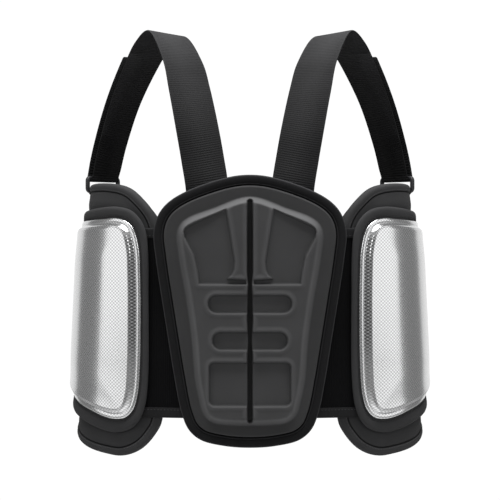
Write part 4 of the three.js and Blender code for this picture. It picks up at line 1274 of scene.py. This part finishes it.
class PROTECTOR_OT_chest_pad(PieceOperator, bpy.types.Operator):
    """Build the chest pad's soft base and its moulding"""

    bl_idname = "protector.chest_pad"
    bl_label = "Chest Pad"

    BASE_STEPS = (90, 60)
    FIELD_STEPS = (330, 210)
    SLOT_ENDS = (0.012, 0.989)

    def base(self, layers, size):
        """The fabric-covered base: a bound rim with a double seam inside it."""
        loop = chest_loop(CHEST_OUTLINE, CHEST_CORNERS, size.width, size.drop, size.height, self.BASE_STEPS)
        low, top = layers.chest_in, layers.chest_out
        rim = size.rim
        profile = ((0.0020, low), (0.0006, low + 0.0005), (0.0, low + 0.0018), (0.0, top - 0.0022),
                   (0.0003, top - 0.0012), (0.0009, top - 0.0003), (0.0018, top + 0.0002),
                   (0.0036, top + 0.0005), (rim - 0.0040, top + 0.0003), (rim - 0.0028, top - 0.0003),
                   (rim - 0.0023, top - 0.0008), (rim - 0.0019, top - 0.0001),
                   (rim - 0.0015, top - 0.0001), (rim - 0.0011, top - 0.0009),
                   (rim - 0.0002, top - 0.0009), (rim + 0.0008, top - 0.0004))
        mesh = pad_skin("chest_base_cover", loop, self.BASE_STEPS, profile, on_chest,
                        lambda x, z, from_edge: 0 * x)
        return loop, mesh

    def relief(self, x, z, border, size):
        """Height of the moulding over its border, how much painted shade its recesses, creases and slot get,
        how drawn its cover is, with a painted highlight there, and where the panel is."""
        half, tall = size.panel_width / 2, size.panel_height
        bevel = size.panel_bevel
        panel = chest_loop(PANEL_OUTLINE, PANEL_CORNERS, size.panel_width, size.panel_drop, tall,
                           self.BASE_STEPS)
        inside = distance_to(panel, x, z)
        rise = size.panel_rise * ease(inside, -0.0004, bevel)
        drawn = between(inside, (-0.001, 0.0015), (bevel - 0.002, bevel + 0.001))
        down = (-size.panel_drop - z) / tall
        out = np.abs(x)
        near = np.full_like(x, -1.0)
        for reach, top, bottom, rounding in CROSS_RECESSES:
            middle = -size.panel_drop - tall * (top + bottom) / 2
            high = tall * (bottom - top) / 2
            corner = rounding * high
            dx = out - (reach * half - corner)
            dz = np.abs(z - middle) - (high - corner)
            gap = np.hypot(np.maximum(dx, 0), np.maximum(dz, 0)) + np.minimum(np.maximum(dx, dz), 0)
            near = np.maximum(near, corner - gap)
        upper = np.array([(o * half, -size.panel_drop - d * tall) for o, d in UPPER_RECESS])
        near = np.maximum(near, distance_to(upper, out, z))
        cut = ease(near, -0.0006, 0.0013)
        wide = np.interp(down, *zip(*MIDDLE_SLOT)) * size.slot / 2
        past = np.maximum(self.SLOT_ENDS[0] - down, down - self.SLOT_ENDS[1]) * tall + size.slot / 2
        inner = wide - np.hypot(out, np.maximum(past, 0))
        slot = ease(inner, -0.0006, 0.0010)
        edge_of = np.maximum(near, inner)
        lip = between(edge_of, (-0.0058, -0.0014), (-0.0010, 0.0004))
        lip *= ease(inside, bevel - 0.002, bevel + 0.002)
        depth = np.maximum(cut * size.recess, slot * size.slot_depth)
        height = rise + size.lip * lip - np.minimum(depth, rise + 0.0004)
        edge = distance_to(border, x, z)
        height -= 0.0009 * (1 - ease(edge, 0.0, 0.0014))
        crease = between(edge_of, (-0.0004, 0.0006), (0.0008, 0.0022))
        # Painted shade for the slot, the recesses and their creases; painted highlight along the lips
        sunk = np.maximum(np.maximum(slot * 1.4, 0.12 * cut), 0.85 * crease * cut)
        drawn = np.maximum(drawn, 0.32 * lip)
        return height, sunk, drawn, ease(inside, 0, bevel)

    def moulding(self, layers, size, outer):
        """The pressed foam moulding with its border, panel, recesses and slot."""
        loop = chest_loop(CHEST_OUTLINE, CHEST_CORNERS, size.width, size.drop, size.height, self.FIELD_STEPS)
        border = inset(loop, size.rim + 0.0002)
        coarse = inset(outer, size.rim + 0.0002)
        skin = Skin()
        low, top = layers.border_in, layers.border_out
        rows = [(inset(border, 0.0010), low), (border, low + 0.0006), (border, top - 0.0009)]
        rings = [skin.add(on_chest(flat[:, 0], flat[:, 1], off), flat, 0) for flat, off in rows]
        for first, second in zip(rings, rings[1:]):
            skin.bridge(first, second)
        marks = {key: np.zeros(skin.count) for key in ("sunk", "drawn", "panel")}

        def surface(x, z):
            height, *found = self.relief(x, z, coarse, size)
            for key, values in zip(("sunk", "drawn", "panel"), found):
                marks[key] = np.append(marks[key], values)
            return on_chest(x, z, top + height), 0

        skin.cap(rings[-1], border, self.FIELD_STEPS, True, surface)
        middle = np.mean(rows[0][0], axis=0)
        centre = skin.add(on_chest(middle[0], middle[1], low), middle, 0)
        skin.fan(rings[0], centre[0])
        mesh = skin.mesh("chest_moulding_cover")
        for key, values in marks.items():
            store(mesh, key, np.append(values, 0))
        return mesh

    def execute(self, context):
        layers, size = Layers(), settings().chest
        outer, base = self.base(layers, size)
        made = piece("chest_base_cover", base, shared(rim_finish), "binding_fabric", "chest_base_pad")
        mesh = self.moulding(layers, size, outer)
        cover = piece("chest_moulding_cover", mesh, moulding_finish(), "moulded_foam", "chest_moulding")
        return {"FINISHED"}


def strap_route():
    """The strap's centre line on the +X side, with its fold and return: points, ways across, ways
    out, and whether each point is on the worn stretch."""
    layers, size, body = Layers(), settings().strap, settings().body
    ring, along, out, spread = ring_place()
    front_z = layers.belt_top + size.tuck
    bow = size.width ** 2 / (8 * body.front_radius)
    off = layers.chest_in - layers.GAP - bow - size.thickness / 2
    front = on_chest(size.front_x, front_z, off)
    lift = math.radians(STRAP_BACK_ROUTE[0][4])
    crest = size.thickness / 2 * math.cos(lift) - size.width / 2 * math.sin(lift)
    shoulder = np.array([size.shoulder_x, size.shoulder_y, crest])
    reach = size.ring_wire / 2 + size.fold_gap + size.thickness / 2
    end = ring + UP * spread - out * reach
    rows = [front + (shoulder - front) * row[:3] for row in STRAP_FRONT_ROUTE]
    rows += [shoulder + (end - shoulder) * row[:3] for row in STRAP_BACK_ROUTE] + [end]
    turns = [row[3:] for row in STRAP_FRONT_ROUTE + STRAP_BACK_ROUTE] + [(1.0, 0.0)]
    at = np.linspace(0, len(rows) - 1, STRAP_STEPS * (len(rows) - 1) + 1)
    points = spline(rows, at)
    turn, roll = np.array([np.interp(at, range(len(turns)), column) for column in zip(*turns)])
    turn, roll = soften(turn) * size.ring_turn, np.radians(soften(roll))[:, None]
    along_path = unit(np.gradient(points, axis=0))
    settle = ease(at, len(rows) - 1.6, len(rows) - 1.0)[:, None]
    along_path = unit(along_path * (1 - settle) - UP * settle)
    across = np.stack([np.cos(turn), -np.sin(turn), 0 * turn], axis=1)
    across = unit(across - along_path * np.sum(across * along_path, axis=1, keepdims=True))
    outwards = -np.cross(along_path, across)
    across, outwards = (across * np.cos(roll) + outwards * np.sin(roll),
                        outwards * np.cos(roll) - across * np.sin(roll))
    bend = np.linspace(0, math.pi, FOLD_STEPS)[1:-1, None]
    away = -out * np.cos(bend) - UP * np.sin(bend)
    fold = ring + UP * spread + away * reach
    back = (points[:, 2] < -size.return_drop) & (at > len(STRAP_FRONT_ROUTE))
    share = np.linspace(0, 1, int(back.sum()))[:, None]
    closed = size.thickness + size.return_gap
    apart = 2 * reach + (closed - 2 * reach) * share ** 1.5
    home = (points[back][::-1] + outwards[back][::-1] * apart
            + across[back][::-1] * size.return_shift * share)
    worn = np.zeros((len(points) + len(fold) + len(home), 3))
    worn[:len(points), 0] = 1.0
    return (np.concatenate([points, fold, home]),
            np.concatenate([across, np.repeat(along[None], len(fold), axis=0), across[back][::-1]]),
            np.concatenate([outwards, away, -outwards[back][::-1]]), worn)


def soften(values):
    """The values of a route eased over their neighbours."""
    reach = 12
    padded = np.concatenate([np.full(reach, values[0]), values, np.full(reach, values[-1])])
    return np.convolve(padded, np.ones(2 * reach + 1) / (2 * reach + 1), mode="valid")


def ring_place():
    """The ring's middle, its way along, its way out, and half the distance between its bars."""
    size = settings().strap
    along = np.array([math.cos(size.ring_turn), -math.sin(size.ring_turn), 0.0])
    out = np.array([math.sin(size.ring_turn), math.cos(size.ring_turn), 0.0])
    off = Layers.GAP + size.tab_thickness / 2 + size.ring_stand_off
    middle = tab_seat(-size.ring_drop, off)
    return middle, along, out, (size.ring_height - size.ring_wire) / 2


def tab_seat(z, off):
    """The spot on the side pad's face that the tab is sewn to."""
    layers, size, body = Layers(), settings().strap, settings().body
    out = np.array([math.sin(size.ring_turn), math.cos(size.ring_turn), 0.0])
    flank_centre, _, _ = body_oval(np.float64(z))
    reach = body.flank_radius + layers.side_pad + float(flare(np.float64(z))) + off
    return np.array([flank_centre, 0.0, z]) + out * reach


def resample(points, *others, spacing):
    """Points at an even spacing, with what goes with them, and the length gone at each."""
    gone = np.concatenate([[0], np.cumsum(np.linalg.norm(np.diff(points, axis=0), axis=1))])
    target = np.linspace(0, gone[-1], max(2, int(round(gone[-1] / spacing)) + 1))
    made = [np.stack([np.interp(target, gone, v[:, i]) for i in range(3)], axis=1)
            for v in (points, *others)]
    made[1:3] = [unit(ways) for ways in made[1:3]]
    return (*made, target)


def webbing_skin(name, points, across, outwards, gone, width, thickness):
    """A flat tape with rounded, slightly thicker selvedges along a route."""
    half, thick = width / 2, thickness / 2
    section = []
    for step in np.linspace(-1, 1, TAPE_COLUMNS):
        x = step * (half - thick)
        section.append((x, thick * (1 + 0.12 * ease(abs(step), 0.86, 0.95))))
    turn = np.linspace(math.pi / 2, -math.pi / 2, TAPE_TURNS + 2)[1:-1]
    section += [(half - thick + thick * math.cos(a), thick * math.sin(a)) for a in turn]
    section += [(x, -y) for x, y in section[TAPE_COLUMNS - 1::-1]]
    section += [(-(half - thick) - thick * math.cos(a), -thick * math.sin(a)) for a in turn]
    skin = Skin()
    columns = []
    for x, y in section:
        places = points + across * x + outwards * y
        flat = np.stack([np.full(len(points), x), gone], axis=1)
        columns.append(skin.add(places, flat, 0))
    columns = np.array(columns)
    for first, second in zip(columns, np.roll(columns, -1, axis=0)):
        skin.bridge(first, second, closed=False)
    top_end = TAPE_COLUMNS - 1
    low_start = TAPE_COLUMNS + TAPE_TURNS
    low_end = low_start + top_end
    cap = [(i, i + 1, low_end - i - 1, low_end - i) for i in range(top_end)]
    for first, last in ((top_end, low_start), (low_end, 0)):
        cap += [(first, first + 1, first + 4, last), (first + 1, first + 2, first + 3, first + 4)]
    skin.faces.append(columns[:, 0][np.array(cap)])
    skin.faces.append(columns[:, -1][np.array(cap)[:, ::-1]])
    return skin.mesh(name)


def mark_shaded_inner(mesh, points, outwards, worn):
    """Marks the vertices on the body's side of the worn stretch of a route, where the webbing's finish
    paints shade.
    """
    places = places_of(mesh)
    near = np.concatenate([np.argmin(((part[:, None] - points) ** 2).sum(axis=2), axis=1)
                           for part in np.array_split(places, 1 + len(places) // 500)])
    side = np.einsum("ij,ij->i", places - points[near], outwards[near])
    inner = (side < -0.0001) & worn[near]
    store(mesh, "inner", inner)


def rib_shape(graph, given):
    """One rib: a flat round bar right across the webbing."""
    bar = graph.node("GeometryNodeMeshCylinder", {"fill_type": "NGON"}, {
        "Vertices": 10, "Side Segments": 1, "Radius": 0.5, "Depth": 1.0})
    size = graph.node("ShaderNodeCombineXYZ", inputs={
        "X": given["Pitch"], "Y": given["Thick"], "Z": given["Width"]})
    flat = graph.node("GeometryNodeTransform", inputs={"Geometry": bar, "Scale": size})
    return graph.node("GeometryNodeTransform", inputs={
        "Geometry": flat, "Rotation": (math.pi / 2, 0.0, 0.0)})


class PROTECTOR_OT_straps(PieceOperator, bpy.types.Operator):
    """Build the ribbed shoulder straps"""

    bl_idname = "protector.straps"
    bl_label = "Shoulder Straps"

    SPACING = 0.0012
    # Shares of the webbing's thickness that its body and its ribs take, and of its width that
    # the ribs take
    BODY_THICKNESS = 0.8
    RIB_THICKNESS = 1.12
    RIB_WIDTH = 0.95

    def execute(self, context):
        size = settings().strap
        finish = shared(webbing_finish)
        points, across, outwards, worn, gone = resample(*strap_route(), spacing=self.SPACING)
        body = webbing_skin("shoulder_webbing_right", points, across, outwards, gone,
                            size.width, size.thickness * self.BODY_THICKNESS)
        values = {"Pitch": size.rib, "Width": size.width * self.RIB_WIDTH,
                  "Thick": size.thickness * self.RIB_THICKNESS, "Seed": 1, "Tilt": 0.0}
        ribs = put_along("webbing_ribs_right", (points, across, outwards, False),
                         rib_shape, values, finish)
        for stem, mesh in (("shoulder_webbing", body), ("webbing_ribs", ribs)):
            mark_shaded_inner(mesh, points, outwards, worn[:, 0] > 0.5)
            pair(stem, mesh, finish, "webbing", "shoulder_strap")
        return {"FINISHED"}


class PROTECTOR_OT_rings(PieceOperator, bpy.types.Operator):
    """Build the strap rings and the tabs that hold them"""

    bl_idname = "protector.rings"
    bl_label = "Rings and Tabs"

    SPACING = 0.0008
    STITCH_MARGIN = 0.003
    # Points of the tab's line between which its sewn box lies
    STITCH_ENDS = (-3, -10)

    def ring(self):
        """The moulded ring: a round-edged bar along a rounded oblong."""
        size = settings().strap
        middle, along, out, spread = ring_place()
        half, bend, wire = (size.ring_length - size.ring_wire) / 2, size.ring_corner, size.ring_wire / 2
        centres, ways = [], []
        for quarter, (a, u) in enumerate(((1, 1), (-1, 1), (-1, -1), (1, -1))):
            for step in np.linspace(0, math.pi / 2, 9):
                angle = quarter * math.pi / 2 + step
                away = along * math.cos(angle) + UP * math.sin(angle)
                centres.append(middle + along * a * (half - bend) + UP * u * (spread - bend) + away * bend)
                ways.append(away)
        centres, ways = np.array(centres), np.array(ways)
        skin = Skin()
        rings = []
        for angle in np.linspace(0, 2 * math.pi, 24, endpoint=False):
            c, s = math.cos(angle), math.sin(angle)
            across = math.copysign(abs(c) ** 0.75, c) * wire
            through = math.copysign(abs(s) ** 0.75, s) * wire
            places = centres + ways * across + out * through
            rings.append(skin.add(places, places[:, :2], 0))
        for first, second in zip(rings, rings[1:] + rings[:1]):
            skin.bridge(first, second)
        return skin.mesh("strap_ring_bar_right")

    def tab_route(self):
        """The tab's line: a short end, the fold round the ring's bar, and the sewn end."""
        size = settings().strap
        middle, along, out, spread = ring_place()
        bar = middle - UP * spread
        reach = size.ring_wire / 2 + size.fold_gap + size.tab_thickness / 2
        seat = Layers.GAP + size.tab_thickness / 2
        bottom = tab_seat(bar[2] - size.tab_drop, seat)
        landing = tab_seat(bar[2] - size.tab_landing, seat)
        down = unit(landing - bar)
        outer = np.cross(down, along)
        outer *= np.sign(outer @ out)
        closed = (size.tab_thickness + size.fold_gap) / 2
        short = bar + down * size.ring_stand_off
        points, ways = [short - outer * closed], [-outer]
        for angle in np.linspace(0, math.pi, 17):
            away = -outer * math.cos(angle) - down * math.sin(angle)
            points.append(bar + away * reach)
            ways.append(away)
        points += [short + outer * closed, landing, bottom]
        ways += [outer, unit(outer + out), out]
        across = np.repeat(along[None], len(points), axis=0)
        return np.array(points), across, np.array(ways)

    def execute(self, context):
        size = settings().strap
        plastic, webbing, thread = shared(plastic_finish), shared(webbing_finish), shared(thread_finish)
        points, across, outwards, gone = resample(*self.tab_route(), spacing=self.SPACING)
        tab = webbing_skin("ring_tab_tape_right", points, across, outwards, gone,
                           size.tab_width, size.tab_thickness)
        ring = self.ring()
        face = outwards[-1] * (size.tab_thickness / 2)
        inner = size.tab_width / 2 - self.STITCH_MARGIN
        rows = points[list(self.STITCH_ENDS)]
        box = np.array([rows[0] - across[0] * inner, rows[0] + across[0] * inner,
                        rows[1] + across[0] * inner, rows[1] - across[0] * inner]) + face
        dense = np.concatenate([box[i] + (box[(i + 1) % 4] - box[i]) * np.linspace(0, 1, 12)[:-1, None]
                                for i in range(4)])
        ways = np.roll(dense, -1, axis=0) - dense
        normal = np.repeat(outwards[-1][None], len(dense), axis=0)
        path = (dense, unit(np.cross(normal, ways)), normal, True)
        row = stitches("ring_tab_stitches_right", path, thread)
        pair("ring_tab_tape", tab, webbing, "webbing", "ring_tab")
        pair("strap_ring_bar", ring, plastic, "ring_plastic", "strap_ring")
        pair("ring_tab_stitches", row, None, "webbing")
        return {"FINISHED"}


class PROTECTOR_OT_studio(PieceOperator, bpy.types.Operator):
    """Set up the floor, the soft light and the camera"""

    bl_idname = "protector.studio"
    bl_label = "Studio"

    SENSOR = 36.0
    LIGHTS = (
        # name, place, size, power, target
        ("top_box", (0.0, -0.35, 1.9), (2.2, 1.2), 118.0, (0.0, 0.0, -0.2)),
        ("left_box", (-1.92, -0.65, 0.33), (1.58, 1.54), 7.9, (0.0, -0.65, 0.33)),
        ("right_box", (1.92, -0.65, 0.33), (1.58, 1.54), 7.9, (0.0, -0.65, 0.33)),
        ("front_box", (0.0, -3.2, 0.9), (2.0, 1.2), 21.0, (0.0, 0.0, -0.2)),
    )

    def floor(self, size, colours):
        """A wide pale floor under the worn protector."""
        radius, rings, sides = 9.0, 10, 72
        skin = Skin()
        rows = []
        for step in range(1, rings + 1):
            angle = np.linspace(0, 2 * math.pi, sides, endpoint=False)
            reach = radius * step / rings
            places = np.stack([reach * np.cos(angle), reach * np.sin(angle),
                               np.full(sides, -size.floor_drop)], axis=1)
            rows.append(skin.add(places, places[:, :2], 0))
        for first, second in zip(rows, rows[1:]):
            skin.bridge(first, second)
        centre = skin.add((0.0, 0.0, -size.floor_drop), (0.0, 0.0), 0)
        skin.fan(rows[0], centre[0])
        mesh = skin.mesh("studio_floor")
        mesh.flip_normals()
        made = Finish("studio_floor_paint")
        speck = made.noise(made.place(), 3.0, 2.0)
        made.finish(base_color=made.tint(tuple(colours.floor), 0.97 + speck * 0.04), roughness=0.8)
        mesh.materials.append(made.material)
        add_object("studio_floor", mesh)

    def light(self, name, place, area, power, target):
        """One soft box."""
        data = bpy.data.lights.new(name, "AREA")
        data.shape = "RECTANGLE"
        data.size, data.size_y = area
        data.energy = power
        lamp = add_object(name, data)
        lamp.location = place
        way = Vector(target) - Vector(place)
        lamp.rotation_mode = "QUATERNION"
        lamp.rotation_quaternion = way.to_track_quat("-Z", "Y")
        lamp.visible_camera = False

    def world(self):
        """A pale backdrop for the camera and a dimmer room for light and reflections."""
        world = bpy.data.worlds.new("studio_room")
        world.use_nodes = True
        graph = Graph(world.node_tree)
        back = world.node_tree.nodes["Background"]
        back.inputs["Color"].default_value = (1, 1, 1, 1)
        seen = graph.node("ShaderNodeLightPath", output="Is Camera Ray")
        way = graph.node("ShaderNodeTexCoord", output="Generated")
        behind = graph.node("ShaderNodeSeparateXYZ", inputs={0: way}, output="Y")
        wall = graph.ramp(behind, 0.68, 0.8)
        light = 0.22 + wall * 0.64
        graph.feed(back.inputs["Strength"], light + seen * (1.03 - light))
        bpy.context.scene.world = world

    def camera(self, size):
        """The photograph's view: level and straight on."""
        data = bpy.data.cameras.new("studio_camera")
        data.sensor_width = self.SENSOR
        data.lens = self.SENSOR * size.distance / size.view
        camera = add_object("studio_camera", data)
        camera.location = (0.0, -size.distance, size.height)
        camera.rotation_euler = (math.pi / 2, 0.0, 0.0)
        bpy.context.scene.camera = camera

    def execute(self, context):
        made = settings()
        self.camera(made.studio)
        self.floor(made.studio, made.finish)
        for row in self.LIGHTS:
            self.light(*row)
        self.world()
        bpy.context.scene.view_settings.view_transform = "Standard"
        return {"FINISHED"}


GROUPS = (BodySettings, SidePadSettings, BeltSettings, ShellPadSettings, ShellSettings,
          ChestSettings, StrapSettings, StitchSettings, FinishSettings, StudioSettings,
          ProtectorSettings)
OPERATORS = (PROTECTOR_OT_studio, PROTECTOR_OT_side_pads, PROTECTOR_OT_belt, PROTECTOR_OT_shells,
             PROTECTOR_OT_chest_pad, PROTECTOR_OT_straps, PROTECTOR_OT_rings)


class PROTECTOR_PT_pieces(bpy.types.Panel):
    """Lists the steps that build the protector"""

    bl_idname = "PROTECTOR_PT_pieces"
    bl_label = "Rib Protector"
    bl_space_type = "VIEW_3D"
    bl_region_type = "UI"
    bl_category = "Protector"

    def draw(self, context):
        for operator in OPERATORS:
            self.layout.operator(operator.bl_idname)


def register():
    """Adds the settings, the operators and the panel."""
    for kind in (*GROUPS, *OPERATORS, PROTECTOR_PT_pieces):
        bpy.utils.register_class(kind)
    bpy.types.Scene.rib_protector = PointerProperty(type=ProtectorSettings)


def unregister():
    """Takes them out again."""
    del bpy.types.Scene.rib_protector
    for kind in reversed((*GROUPS, *OPERATORS, PROTECTOR_PT_pieces)):
        bpy.utils.unregister_class(kind)


def main():
    """Builds everything in order."""
    register()
    for operator in OPERATORS:
        group, name = operator.bl_idname.split(".")
        getattr(getattr(bpy.ops, group), name)()


if __name__ == "__main__":
    main()
